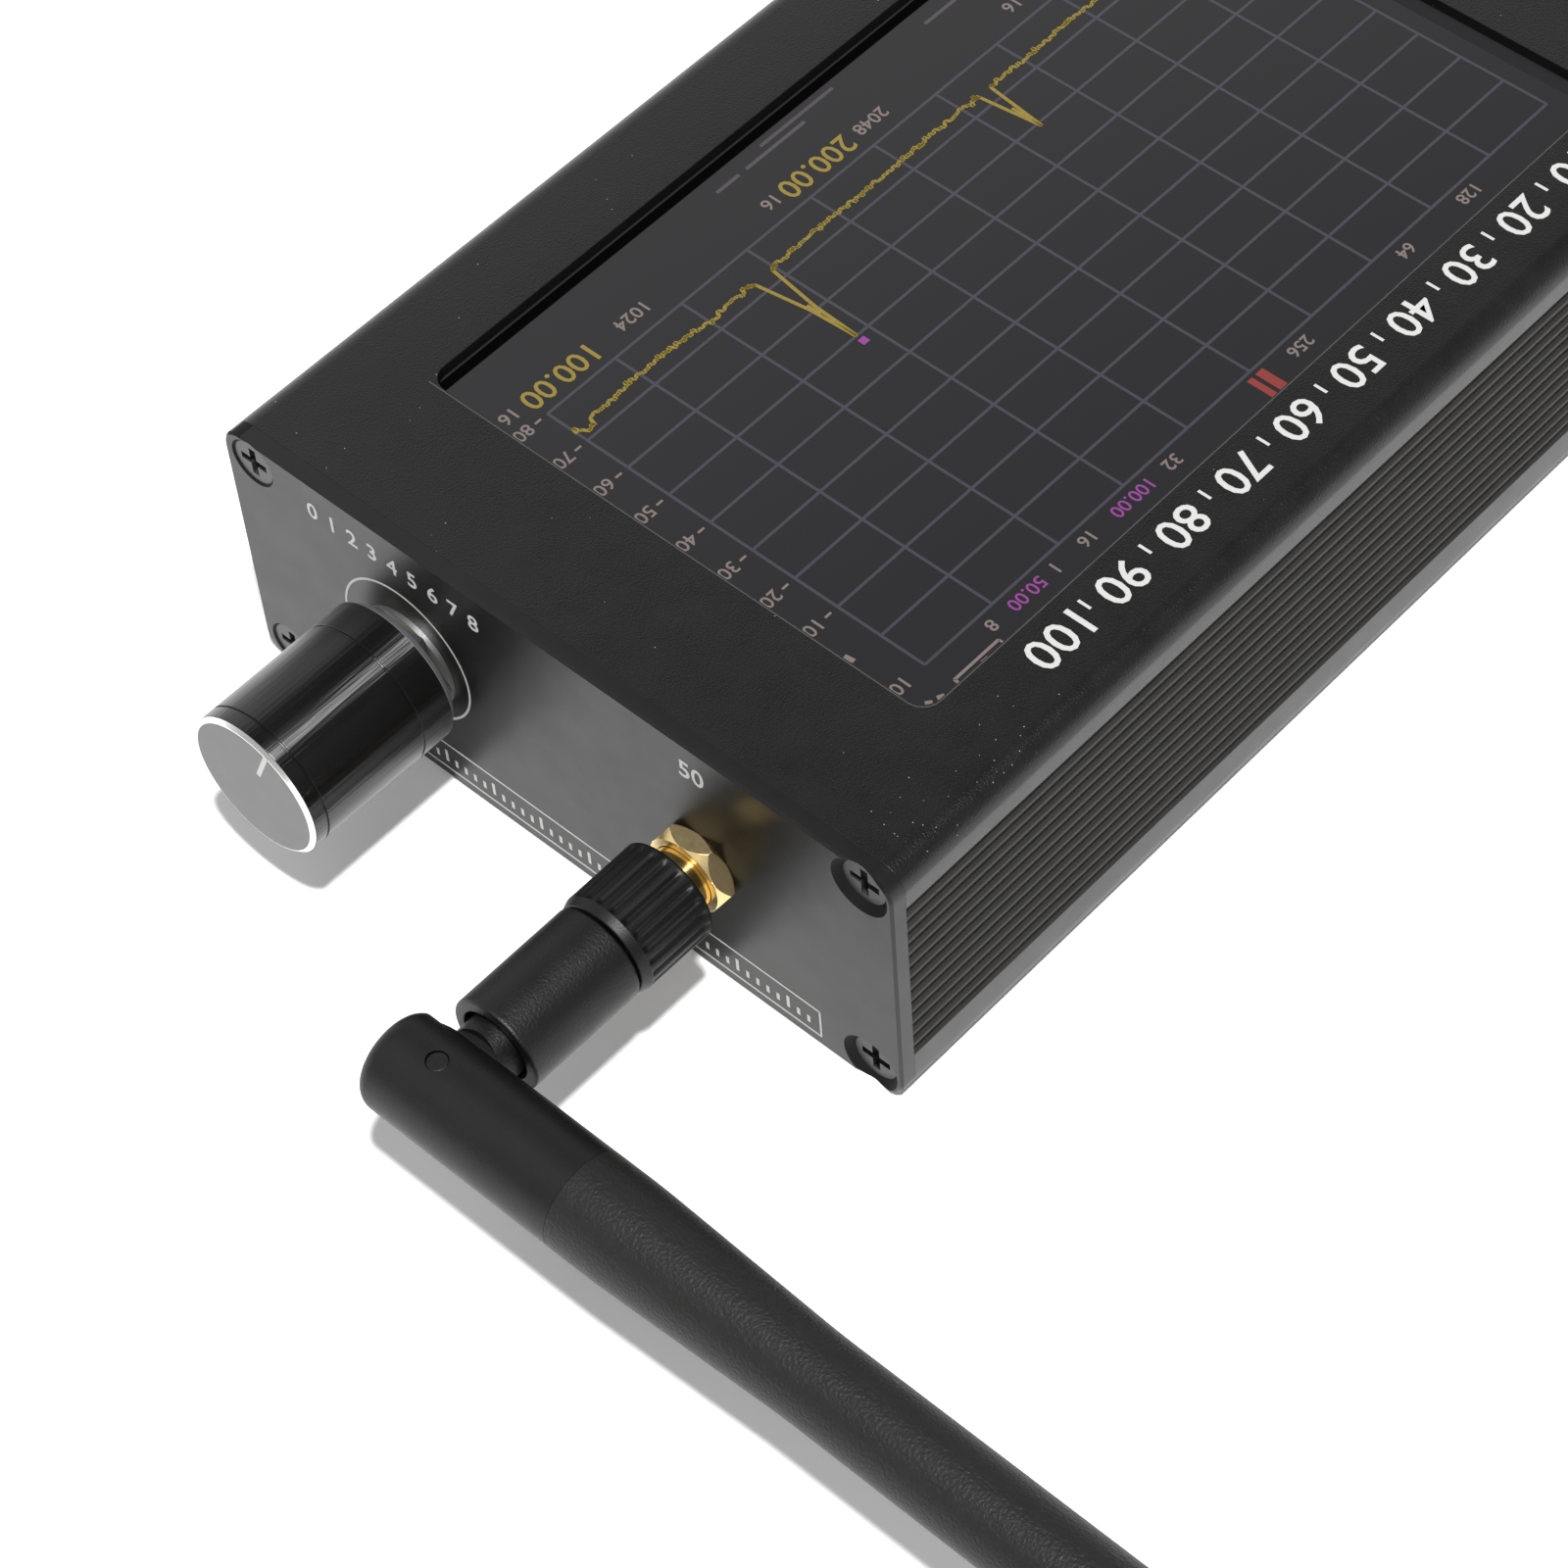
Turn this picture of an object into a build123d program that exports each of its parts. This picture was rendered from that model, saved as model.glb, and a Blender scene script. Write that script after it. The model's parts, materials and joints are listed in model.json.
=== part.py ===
from build123d import *
import math
import os

os.makedirs("parts", exist_ok=True)

# Handheld spectrum analyzer: an extruded aluminium case with a colour screen, a knob that
# turns and pushes, and a coaxial jack that carries a folding antenna.
# Millimetres. +Z points up out of the screen and -Y is the end with the knob and the jack.
# The origin is the centre of the case's underside.

# Screen module
lcd_width = 67.2
lcd_length = 105.5
lcd_foot_border = 8.6
lcd_head_border = 4.74
lcd_end_border = 5.23
lcd_tray_floor = 0.4
lcd_tray_wall = 0.6
lcd_pocket_gap = 0.1
light_guide_thickness = 1.2
lcd_glass_thickness = 1.3

# Case walls and corners
floor_wall = 1.5
roof_wall = 1.3
side_wall = 2.0
case_corner_radius = 2.5
cavity_corner_radius = 0.8
plate_thickness = 1.7
plate_edge_break = 0.25
lcd_front_inset = 9.3
lcd_rear_inset = 15.2

# Corner screws, their ports in the extrusion and their countersinks
screw_side_inset = 3.6
screw_height_inset = 2.75
port_bore_radius = 1.05
port_wall = 1.15
port_lcd_gap = 0.3
screw_shank_radius = 1.0
screw_head_radius = 2.35
screw_head_cone = 0.95
screw_length = 8.0
screw_seat_gap = 0.05
screw_recess_width = 0.8
screw_recess_span = 3.2
screw_recess_depth = 0.7
plate_hole_radius = 1.45
left_rim_radius = 2.6
right_rim_radius = 3.1
rear_rim_radius = 2.6

# Fine grooves along the case's sides
groove_count = 13
groove_pitch = 1.66
groove_width = 1.25
groove_depth = 0.45
groove_top_inset = 4.94

# Screen window in the roof
window_foot_reveal = 4.2
window_head_reveal = 0.8
window_near_cover = 1.1
window_far_reveal = 1.1
window_corner_radius = 2.0
gasket_thickness = 0.25
gasket_window_gap = 0.5
gasket_edge_gap = 0.2

# Boards, stacked on the battery
battery_tape_thickness = 0.8
battery_thickness = 8.0
battery_air = 3.15
board_thickness = 1.6
board_side_gap = 0.25
board_end_gap = 0.3
rail_depth = 1.8
rail_thickness = 1.2
rail_gap = 0.15
spacer_height = 9.4
spacer_flat = 4.5
spacer_bore_radius = 1.25
spacer_edge_inset = 4.3
spacer_lcd_gap = 2.5
spacer_screw_radius = 1.2
spacer_head_radius = 2.1
spacer_head_height = 1.3
spacer_screw_length = 4.0
carrier_thickness = 1.6
carrier_side_trim = 0.3
carrier_end_reach = 6.0
tape_thickness = 0.5
tape_length = 12.0
tape_side_inset = 3.0

# Battery and its lead
battery_width = 60.0
battery_corner_radius = 3.0
battery_encoder_gap = 6.0
battery_tape_width = 44.0
battery_tape_length = 16.0
battery_lead_radius = 0.6
battery_lead_spacing = 2.0
battery_lead_x = -12.0
lead_straight = 2.5
lead_span_length = 9.3
header_width = 8.0
header_length = 6.0
header_height = 5.8
header_plate_gap = 4.0
header_wall = 0.8
plug_gap = 0.15
plug_engagement = 4.5
plug_length = 8.5

# Screen cable and its connector
flex_thickness = 0.2
flex_width = 22.0
flex_tail = 4.5
flex_drop_inset = 5.1
flex_reach = 4.5
flex_slot_gap = 1.0
flex_connector_depth = 4.5
flex_connector_height = 2.0
flex_connector_margin = 2.0

# Chips and shield
shield_width = 33.0
shield_length = 30.0
shield_height = 3.2
shield_wall = 0.4
shield_jack_offset = 0.8
shield_front_gap = 7.0
chip_sizes = [(7.0, 7.0, 1.2), (5.0, 5.0, 1.0), (3.8, 3.8, 1.4)]
chip_offsets = [(-8.0, -3.0), (5.0, -5.0), (8.0, 6.0)]
processor_width = 14.0
processor_height = 1.4
processor_x = -10.0
processor_y = -20.0

# Rotary encoder
knob_side_inset = 21.5
encoder_width = 12.0
encoder_height = 12.4
encoder_flange_thickness = 0.8
encoder_depth = 6.0
encoder_back_wall = 0.7
encoder_cavity_radius = 3.9
bushing_radius = 3.45
bushing_length = 7.0
bushing_hole_gap = 0.15
encoder_washer_radius = 5.5
encoder_washer_thickness = 0.5
encoder_nut_flat = 10.0
encoder_nut_thickness = 2.0
thread_gap = 0.05
running_gap = 0.05
encoder_board_gap = 0.3
encoder_pin_length = 3.0
encoder_pin_width = 0.8
encoder_pin_thickness = 0.3
encoder_pin_pitch = 2.5
push_travel = 0.5
push_spare = 0.1
dome_height = 0.25
dome_thickness = 0.12
dome_radius = 2.6
plunger_radius = 3.3
plunger_thickness = 1.0
shaft_radius = 3.0
shaft_collar_radius = 3.6
shaft_collar_thickness = 0.8
shaft_flat_depth = 1.5
shaft_reach = 16.4

# Knob
knob_radius = 7.5
knob_plate_gap = 1.6
knob_length = 17.8
knob_front_wall = 1.5
knob_recess_radius = 6.2
knob_recess_depth = 4.7
knob_core_gap = 0.05
knob_bevel_width = 0.3
knob_bevel_length = 0.35
knob_back_chamfer = 0.6
knob_groove_width = 0.25
knob_groove_depth = 0.18
knob_front_groove = 1.8
knob_back_groove = 4.2
pointer_length = 4.2
pointer_width = 0.5
pointer_depth = 0.12
pointer_angle = 66.0

# Coaxial jack on the front plate
jack_side_inset = 22.5
jack_radius = 3.175
jack_hole_gap = 0.1
jack_nose = 8.3
jack_shoulder_radius = 4.1
jack_shoulder_thickness = 1.5
jack_board_gap = 0.1
jack_leg_width = 1.0
jack_leg_spread = 2.6
jack_leg_length = 4.5
jack_bore_radius = 2.0
jack_mouth_radius = 2.3
jack_mouth_depth = 2.0
lock_washer_radius = 4.6
lock_washer_thickness = 0.5
jack_nut_flat = 8.0
jack_nut_thickness = 2.1
jack_nut_straight = 1.0
jack_nut_back_chamfer = 0.7
jack_nut_face_radius = 3.95
contact_radius = 0.8
contact_bore_depth = 2.5
contact_tail_length = 2.5
contact_tail_radius = 0.45

# Antenna coupling and ferrule
sleeve_radius = 5.1
sleeve_plate_gap = 3.9
sleeve_length = 7.5
sleeve_lip = 0.6
sleeve_taper_length = 0.9
sleeve_nose_radius = 4.75
sleeve_bore_gap = 0.3
flute_count = 22
flute_radius = 0.34
flute_end_margin = 0.5
insert_radius = 4.0
insert_wall = 1.0
ferrule_flange_radius = 3.0
ferrule_flange_thickness = 1.6
ferrule_radius = 2.2
ferrule_bore_radius = 1.65
ferrule_length = 7.7
press_gap = 0.03
antenna_pin_radius = 0.45
antenna_pin_reach = 4.0

# Antenna stub and elbow
stub_radius = 4.8
stub_gap = 0.25
hinge_reach = 31.2
stub_hinge_gap = 6.1
stub_rear_wall = 4.6
stub_edge_break = 0.2
neck_radius = 3.6
waist_radius = 3.1
waist_depth = 1.5
tongue_thickness = 4.4
tongue_radius = 3.1
hinge_pin_radius = 1.0
elbow_gap = 0.15
slot_gap = 0.15
swing_gap = 0.15
pin_recess = 0.15

# Whip
whip_radius = 4.75
whip_base_length = 16.2
whip_reach = 84.0
spigot_radius = 3.3
spigot_length = 8.0
spigot_gap = 0.05
radome_shoulder = 5.0
radome_taper = 20.0
radome_radius = 4.0
radome_bore_radius = 2.4
radome_tip_wall = 2.5
radome_tip_fillet = 3.2
tail_round = 1.5
element_radius = 2.25
element_wire_radius = 0.8
element_sleeve_length = 26.0
element_plug_depth = 5.0

# Rear end: power switch, charging socket and lamp
switch_side_inset = 21.7
switch_width = 8.5
switch_depth = 4.1
switch_height = 3.6
switch_end_gap = 0.1
lever_width = 2.0
lever_height = 1.6
lever_travel = 2.0
lever_reach = 2.0
lever_gap = 0.15
lever_root = 2.6
plate_slot_gap = 0.3
socket_x = -2.0
socket_width = 8.94
socket_height = 3.2
socket_length = 7.3
socket_wall = 0.3
socket_recess = 0.1
socket_base_thickness = 1.5
tongue_blade_width = 6.7
tongue_blade_thickness = 0.7
tongue_blade_length = 4.6
lamp_side_inset = 23.7
lamp_radius = 1.5
lamp_flange_radius = 1.9
lamp_flange_thickness = 1.0
lamp_length = 5.0
lamp_hole_gap = 0.1

# Sizes that follow from the ones above
port_radius = port_bore_radius + port_wall
case_width = lcd_width + 2 * (port_lcd_gap + port_radius + screw_side_inset)
case_length = lcd_front_inset + lcd_length + lcd_rear_inset
board_bottom = floor_wall + battery_tape_thickness + battery_thickness + battery_air
board_top = board_bottom + board_thickness
axis_z = board_top + contact_tail_radius
carrier_bottom = board_top + spacer_height
carrier_top = carrier_bottom + carrier_thickness
lcd_bottom = carrier_top + tape_thickness
lcd_top = lcd_bottom + lcd_tray_floor + light_guide_thickness + lcd_glass_thickness
roof_bottom = lcd_top + gasket_thickness
case_height = roof_bottom + roof_wall

half_width = case_width / 2
cavity_half = half_width - side_wall
knob_x = -half_width + knob_side_inset
jack_x = half_width - jack_side_inset
cavity_height = roof_bottom - floor_wall
front_face = -case_length / 2
rear_face = case_length / 2
front_inner = front_face + plate_thickness
rear_inner = rear_face - plate_thickness
shell_length = rear_inner - front_inner

lcd_near = front_face + lcd_front_inset
lcd_far = lcd_near + lcd_length
lcd_middle = (lcd_near + lcd_far) / 2
active_foot = -lcd_width / 2 + lcd_foot_border
active_head = lcd_width / 2 - lcd_head_border
active_near = lcd_near + lcd_end_border
active_far = lcd_far - lcd_end_border
window_foot = active_foot - window_foot_reveal
window_head = active_head + window_head_reveal
window_near = active_near + window_near_cover
window_far = active_far + window_far_reveal
window_x = (window_foot + window_head) / 2
window_y = (window_near + window_far) / 2

screw_x = half_width - screw_side_inset
screw_low = screw_height_inset
screw_high = case_height - screw_height_inset
screw_places = [(side * screw_x, height) for side in (-1, 1) for height in (screw_low, screw_high)]

shoulder_back = front_inner + lock_washer_thickness + jack_shoulder_thickness
board_front = shoulder_back + jack_board_gap
board_rear = rear_inner - board_end_gap
board_half = cavity_half - board_side_gap
encoder_back = front_inner + encoder_depth
battery_front = encoder_back + battery_encoder_gap
header_front = rear_inner - header_plate_gap - header_length
plug_rear = header_front - (plug_length - plug_engagement)
battery_rear = plug_rear - lead_span_length
battery_bottom = floor_wall + battery_tape_thickness
battery_top = battery_bottom + battery_thickness
hinge_x = jack_x
hinge_y = front_face - hinge_reach


def station(y):
    """Plane across the case at y: its X is the case's X, its Y the height, and it faces the front."""
    return Plane(origin=(0, y, 0), x_dir=(1, 0, 0), z_dir=(0, -1, 0))


def turning_plane(x):
    """Plane through a lengthwise axis at x: its X is the radius and its Y runs along the case."""
    return Plane(origin=(x, 0, axis_z), x_dir=(1, 0, 0), z_dir=(0, 0, 1))


def turning_axis(x):
    """Lengthwise axis at x, at the height shared by the knob and the jack."""
    return Axis((x, 0, axis_z), (0, 1, 0))


def band(inner, outer, first, last):
    """Rectangle of a turned profile, from inner to outer radius between two places on the axis."""
    with Locations(((inner + outer) / 2, (first + last) / 2)):
        Rectangle(outer - inner, abs(last - first))


def block(x_limits, y_limits, z_limits, mode=Mode.ADD):
    """Box between two limits on each axis."""
    limits = (x_limits, y_limits, z_limits)
    with Locations(tuple(sum(pair) / 2 for pair in limits)):
        Box(*[abs(pair[1] - pair[0]) for pair in limits], mode=mode)


# Case shell: one extrusion with the window, rails, screw ports and side grooves
with BuildPart() as case_shell:
    with BuildSketch(station(rear_inner)):
        with Locations((0, case_height / 2)):
            RectangleRounded(case_width, case_height, case_corner_radius)
        with Locations((0, floor_wall + cavity_height / 2)):
            RectangleRounded(2 * cavity_half, cavity_height, cavity_corner_radius, mode=Mode.SUBTRACT)
        for side in (-1, 1):
            rail_places = [board_bottom - rail_gap - rail_thickness / 2,
                           board_top + rail_gap + rail_thickness / 2]
            rail_middle = cavity_half - rail_depth / 2 + side_wall / 4
            with Locations(*[(side * rail_middle, z) for z in rail_places]):
                Rectangle(rail_depth + side_wall / 2, rail_thickness)
            groove_heights = [case_height - groove_top_inset - k * groove_pitch for k in range(groove_count)]
            with Locations(*[(side * half_width, z) for z in groove_heights]):
                Rectangle(2 * groove_depth, groove_width, mode=Mode.SUBTRACT)
        with Locations(*screw_places):
            Circle(port_radius)
        with Locations(*screw_places):
            Circle(port_bore_radius, mode=Mode.SUBTRACT)
    extrude(amount=shell_length)
    with BuildSketch(Plane.XY.offset(case_height)):
        with Locations((window_x, window_y)):
            RectangleRounded(window_head - window_foot, window_far - window_near, window_corner_radius)
    extrude(amount=-2 * roof_wall, mode=Mode.SUBTRACT)
case_shell.part.label = "case_shell"
export_step(case_shell.part, "parts/case_shell.step")

# Front end plate, with the knob's hole, the jack's hole and four oversize countersinks
with BuildPart() as front_end_plate:
    with BuildSketch(station(front_inner)):
        with Locations((0, case_height / 2)):
            RectangleRounded(case_width, case_height, case_corner_radius)
    extrude(amount=plate_thickness)
    chamfer(front_end_plate.faces().sort_by(Axis.Y)[0].edges(), plate_edge_break)
    with BuildSketch(station(front_inner)):
        with Locations((knob_x, axis_z)):
            Circle(bushing_radius + bushing_hole_gap)
        with Locations((jack_x, axis_z)):
            Circle(jack_radius + jack_hole_gap)
    extrude(amount=plate_thickness, mode=Mode.SUBTRACT)
    for x, z in screw_places:
        rim_radius = left_rim_radius if x < 0 else right_rim_radius
        with Locations(Plane(origin=(x, front_face, z), x_dir=(1, 0, 0), z_dir=(0, -1, 0))):
            CounterSinkHole(plate_hole_radius, rim_radius, plate_thickness, 90)
front_end_plate.part.label = "front_end_plate"
export_step(front_end_plate.part, "parts/front_end_plate.step")

# Rear end plate, with the switch slot, the charging socket's slot and the lamp's hole
switch_x = half_width - switch_side_inset
lamp_x = -half_width + lamp_side_inset
socket_z = board_top + socket_height / 2
lamp_z = board_top + lamp_flange_radius
lever_z = board_top + switch_height / 2
with BuildPart() as rear_end_plate:
    with BuildSketch(station(rear_face)):
        with Locations((0, case_height / 2)):
            RectangleRounded(case_width, case_height, case_corner_radius)
    extrude(amount=plate_thickness)
    chamfer(rear_end_plate.faces().sort_by(Axis.Y)[-1].edges(), plate_edge_break)
    with BuildSketch(station(rear_face)):
        with Locations((switch_x, lever_z)):
            Rectangle(lever_width + lever_travel + 2 * plate_slot_gap, lever_height + 2 * plate_slot_gap)
        with Locations((socket_x, socket_z)):
            SlotOverall(socket_width + 2 * plate_slot_gap, socket_height + 2 * plate_slot_gap)
        with Locations((lamp_x, lamp_z)):
            Circle(lamp_radius + lamp_hole_gap)
    extrude(amount=plate_thickness, mode=Mode.SUBTRACT)
    for x, z in screw_places:
        with Locations(Plane(origin=(x, rear_face, z), x_dir=(-1, 0, 0), z_dir=(0, 1, 0))):
            CounterSinkHole(plate_hole_radius, rear_rim_radius, plate_thickness, 90)
rear_end_plate.part.label = "rear_end_plate"
export_step(rear_end_plate.part, "parts/rear_end_plate.step")


def countersunk_screw(x, z, face, inward, rim_radius):
    """Cross-head screw that sits below an end plate's face as deep as its oversize countersink lets it."""
    head = face + inward * (rim_radius - screw_head_radius - screw_seat_gap)
    neck = head + inward * screw_head_cone
    tip = head + inward * screw_length
    neck_radius_here = screw_head_radius - screw_head_cone
    with BuildPart() as screw:
        with BuildSketch(Plane(origin=(x, 0, z), x_dir=(1, 0, 0), z_dir=(0, 0, 1))):
            with BuildLine():
                Polyline((0, head), (screw_head_radius, head), (neck_radius_here, neck),
                         (screw_shank_radius, neck), (screw_shank_radius, tip), (0, tip), close=True)
            make_face()
        revolve(axis=Axis((x, 0, z), (0, 1, 0)))
        depths = (head - inward, head + inward * screw_recess_depth)
        half = screw_recess_width / 2
        span = screw_recess_span / 2
        block((x - span, x + span), depths, (z - half, z + half), mode=Mode.SUBTRACT)
        block((x - half, x + half), depths, (z - span, z + span), mode=Mode.SUBTRACT)
    return screw.part


# Screws of the two end plates
front_screws = []
rear_screws = []
for x, z in screw_places:
    rim_radius = left_rim_radius if x < 0 else right_rim_radius
    front_screws.append(countersunk_screw(x, z, front_face, 1, rim_radius))
    rear_screws.append(countersunk_screw(x, z, rear_face, -1, rear_rim_radius))
front_plate_screws = Compound(label="front_plate_screws", children=front_screws)
export_step(front_plate_screws, "parts/front_plate_screws.step")
rear_plate_screws = Compound(label="rear_plate_screws", children=rear_screws)
export_step(rear_plate_screws, "parts/rear_plate_screws.step")

# Screen gasket between the roof and the screen's rim
gasket_half = lcd_width / 2 - gasket_edge_gap
with BuildPart() as window_gasket:
    block((-gasket_half, gasket_half), (lcd_near + gasket_edge_gap, lcd_far - gasket_edge_gap),
          (lcd_top, roof_bottom))
    block((window_foot - gasket_window_gap, window_head + gasket_window_gap),
          (window_near - gasket_window_gap, window_far + gasket_window_gap), (lcd_top, roof_bottom),
          mode=Mode.SUBTRACT)
window_gasket.part.label = "window_gasket"
export_step(window_gasket.part, "parts/window_gasket.step")

# Screen: tray, light guide and glass
pocket_half = lcd_width / 2 - lcd_tray_wall
pocket_near = lcd_near + lcd_tray_wall
pocket_far = lcd_far - lcd_tray_wall
guide_bottom = lcd_bottom + lcd_tray_floor
glass_bottom = guide_bottom + light_guide_thickness
with BuildPart() as lcd_tray:
    block((-lcd_width / 2, lcd_width / 2), (lcd_near, lcd_far), (lcd_bottom, lcd_top))
    block((-pocket_half, pocket_half), (pocket_near, pocket_far), (guide_bottom, lcd_top), mode=Mode.SUBTRACT)
lcd_tray.part.label = "lcd_tray"
export_step(lcd_tray.part, "parts/lcd_tray.step")

sheet_half = pocket_half - lcd_pocket_gap
sheet_near = pocket_near + lcd_pocket_gap
sheet_far = pocket_far - lcd_pocket_gap
with BuildPart() as lcd_light_guide:
    block((-sheet_half, sheet_half), (sheet_near, sheet_far), (guide_bottom, glass_bottom))
lcd_light_guide.part.label = "lcd_light_guide"
export_step(lcd_light_guide.part, "parts/lcd_light_guide.step")

with BuildPart() as lcd_glass:
    block((-sheet_half, sheet_half), (sheet_near, sheet_far), (glass_bottom, lcd_top))
lcd_glass.part.label = "lcd_glass"
export_step(lcd_glass.part, "parts/lcd_glass.step")

# Foam tape between the screen and its carrier board, two strips
with BuildPart() as lcd_tape:
    tape_half = lcd_width / 2 - tape_side_inset
    for edge, inward in ((lcd_near, 1), (lcd_far, -1)):
        block((-tape_half, tape_half), (edge, edge + inward * tape_length), (carrier_top, lcd_bottom))
lcd_tape.part.label = "lcd_tape"
export_step(lcd_tape.part, "parts/lcd_tape.step")

# Carrier board of the screen, with the slot for the screen cable
carrier_half = lcd_width / 2 - carrier_side_trim
carrier_near = lcd_near - carrier_end_reach + gasket_edge_gap
carrier_far = lcd_far + carrier_end_reach
spacer_x = carrier_half - spacer_edge_inset
spacer_rows = (lcd_near - spacer_lcd_gap, lcd_far + spacer_lcd_gap)
spacer_places = [(side * spacer_x, y) for side in (-1, 1) for y in spacer_rows]
slot_half = flex_width / 2 + flex_slot_gap
flex_drop_x = -lcd_width / 2 + flex_drop_inset
with BuildPart() as display_board:
    block((-carrier_half, carrier_half), (carrier_near, carrier_far), (carrier_bottom, carrier_top))
    block((flex_drop_x - flex_slot_gap, flex_drop_x + flex_slot_gap),
          (lcd_middle - slot_half, lcd_middle + slot_half), (carrier_bottom, carrier_top), mode=Mode.SUBTRACT)
    with Locations(*[(x, y, (carrier_bottom + carrier_top) / 2) for x, y in spacer_places]):
        Cylinder(spacer_bore_radius, carrier_thickness, mode=Mode.SUBTRACT)
display_board.part.label = "display_board"
export_step(display_board.part, "parts/display_board.step")

# Main board in the rails, notched for the encoder
notch_half = encoder_width / 2 + encoder_board_gap
notch_back = encoder_back + encoder_board_gap
with BuildPart() as main_board:
    block((-board_half, board_half), (board_front, board_rear), (board_bottom, board_top))
    block((knob_x - notch_half, knob_x + notch_half), (board_front, notch_back), (board_bottom, board_top),
          mode=Mode.SUBTRACT)
    with Locations(*[(x, y, (board_bottom + board_top) / 2) for x, y in spacer_places]):
        Cylinder(spacer_bore_radius, board_thickness, mode=Mode.SUBTRACT)
main_board.part.label = "main_board"
export_step(main_board.part, "parts/main_board.step")

# Hexagonal spacers between the boards
with BuildPart() as board_spacers:
    with BuildSketch(Plane.XY.offset(board_top)):
        with Locations(*spacer_places):
            RegularPolygon(spacer_flat / 2, 6, major_radius=False)
        with Locations(*spacer_places):
            Circle(spacer_bore_radius, mode=Mode.SUBTRACT)
    extrude(amount=spacer_height)
board_spacers.part.label = "board_spacers"
export_step(board_spacers.part, "parts/board_spacers.step")

# Screws of the spacers, from above and from below
with BuildPart() as spacer_screws:
    for seat, outward in ((carrier_top, 1), (board_bottom, -1)):
        with BuildSketch(Plane.XY.offset(seat)):
            with Locations(*spacer_places):
                Circle(spacer_head_radius)
        extrude(amount=outward * spacer_head_height)
        with BuildSketch(Plane.XY.offset(seat)):
            with Locations(*spacer_places):
                Circle(spacer_screw_radius)
        extrude(amount=-outward * spacer_screw_length)
spacer_screws.part.label = "spacer_screws"
export_step(spacer_screws.part, "parts/spacer_screws.step")

# Screen cable: flat under the screen, down through the slot, into its connector
flex_top = lcd_bottom - flex_thickness / 2
flex_low = board_top + flex_connector_height / 2
flex_entry_x = flex_drop_x + flex_reach
bend_radius = flex_reach / 4
with BuildPart() as lcd_flex:
    with BuildLine(Plane.XZ.offset(-lcd_middle)) as flex_path:
        FilletPolyline((flex_drop_x - flex_tail, flex_top), (flex_drop_x, flex_top), (flex_drop_x, flex_low),
                       (flex_entry_x, flex_low), radius=bend_radius)
    with BuildSketch(Plane(origin=flex_path.line @ 0, x_dir=(0, 1, 0), z_dir=flex_path.line % 0)):
        Rectangle(flex_width, flex_thickness)
    sweep()
lcd_flex.part.label = "lcd_flex"
export_step(lcd_flex.part, "parts/lcd_flex.step")

connector_half = flex_width / 2 + flex_connector_margin
with BuildPart() as flex_connector:
    block((flex_entry_x, flex_entry_x + flex_connector_depth),
          (lcd_middle - connector_half, lcd_middle + connector_half),
          (board_top, board_top + flex_connector_height))
flex_connector.part.label = "flex_connector"
export_step(flex_connector.part, "parts/flex_connector.step")

# Shield can over the radio chips, open towards the board
shield_front = board_front + shield_front_gap
shield_x = jack_x + shield_jack_offset
shield_limits = (shield_x - shield_width / 2, shield_x + shield_width / 2)
with BuildPart() as rf_shield_can:
    block(shield_limits, (shield_front, shield_front + shield_length), (board_top, board_top + shield_height))
    block((shield_limits[0] + shield_wall, shield_limits[1] - shield_wall),
          (shield_front + shield_wall, shield_front + shield_length - shield_wall),
          (board_top, board_top + shield_height - shield_wall), mode=Mode.SUBTRACT)
rf_shield_can.part.label = "rf_shield_can"
export_step(rf_shield_can.part, "parts/rf_shield_can.step")

with BuildPart() as rf_chips:
    for (width, length, height), (dx, dy) in zip(chip_sizes, chip_offsets):
        middle = (shield_x + dx, shield_front + shield_length / 2 + dy)
        block((middle[0] - width / 2, middle[0] + width / 2),
              (middle[1] - length / 2, middle[1] + length / 2), (board_top, board_top + height))
rf_chips.part.label = "rf_chips"
export_step(rf_chips.part, "parts/rf_chips.step")

with BuildPart() as processor_chip:
    half = processor_width / 2
    block((processor_x - half, processor_x + half), (processor_y - half, processor_y + half),
          (board_top, board_top + processor_height))
processor_chip.part.label = "processor_chip"
export_step(processor_chip.part, "parts/processor_chip.step")

# Battery cell on two strips of foam tape
with BuildPart() as battery_cell:
    block((-battery_width / 2, battery_width / 2), (battery_front, battery_rear),
          (battery_bottom, battery_top))
    fillet(battery_cell.edges().filter_by(Axis.Y), battery_corner_radius)
battery_cell.part.label = "battery_cell"
export_step(battery_cell.part, "parts/battery_cell.step")

with BuildPart() as battery_tape:
    for edge, inward in ((battery_front, 1), (battery_rear, -1)):
        block((-battery_tape_width / 2, battery_tape_width / 2), (edge, edge + inward * battery_tape_length),
              (floor_wall, battery_bottom))
battery_tape.part.label = "battery_tape"
export_step(battery_tape.part, "parts/battery_tape.step")

# Battery header under the main board, its plug and the two leads
header_bottom = board_bottom - header_height
cavity_low = header_bottom + header_wall
cavity_high = board_bottom - header_wall
plug_half = header_width / 2 - header_wall - plug_gap
with BuildPart() as battery_header:
    block((battery_lead_x - header_width / 2, battery_lead_x + header_width / 2),
          (header_front, header_front + header_length), (header_bottom, board_bottom))
    block((battery_lead_x - header_width / 2 + header_wall, battery_lead_x + header_width / 2 - header_wall),
          (header_front, header_front + plug_engagement + plug_gap), (cavity_low, cavity_high),
          mode=Mode.SUBTRACT)
battery_header.part.label = "battery_header"
export_step(battery_header.part, "parts/battery_header.step")

with BuildPart() as battery_plug:
    block((battery_lead_x - plug_half, battery_lead_x + plug_half), (plug_rear, plug_rear + plug_length),
          (cavity_low + plug_gap, cavity_high - plug_gap))
battery_plug.part.label = "battery_plug"
export_step(battery_plug.part, "parts/battery_plug.step")

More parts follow.
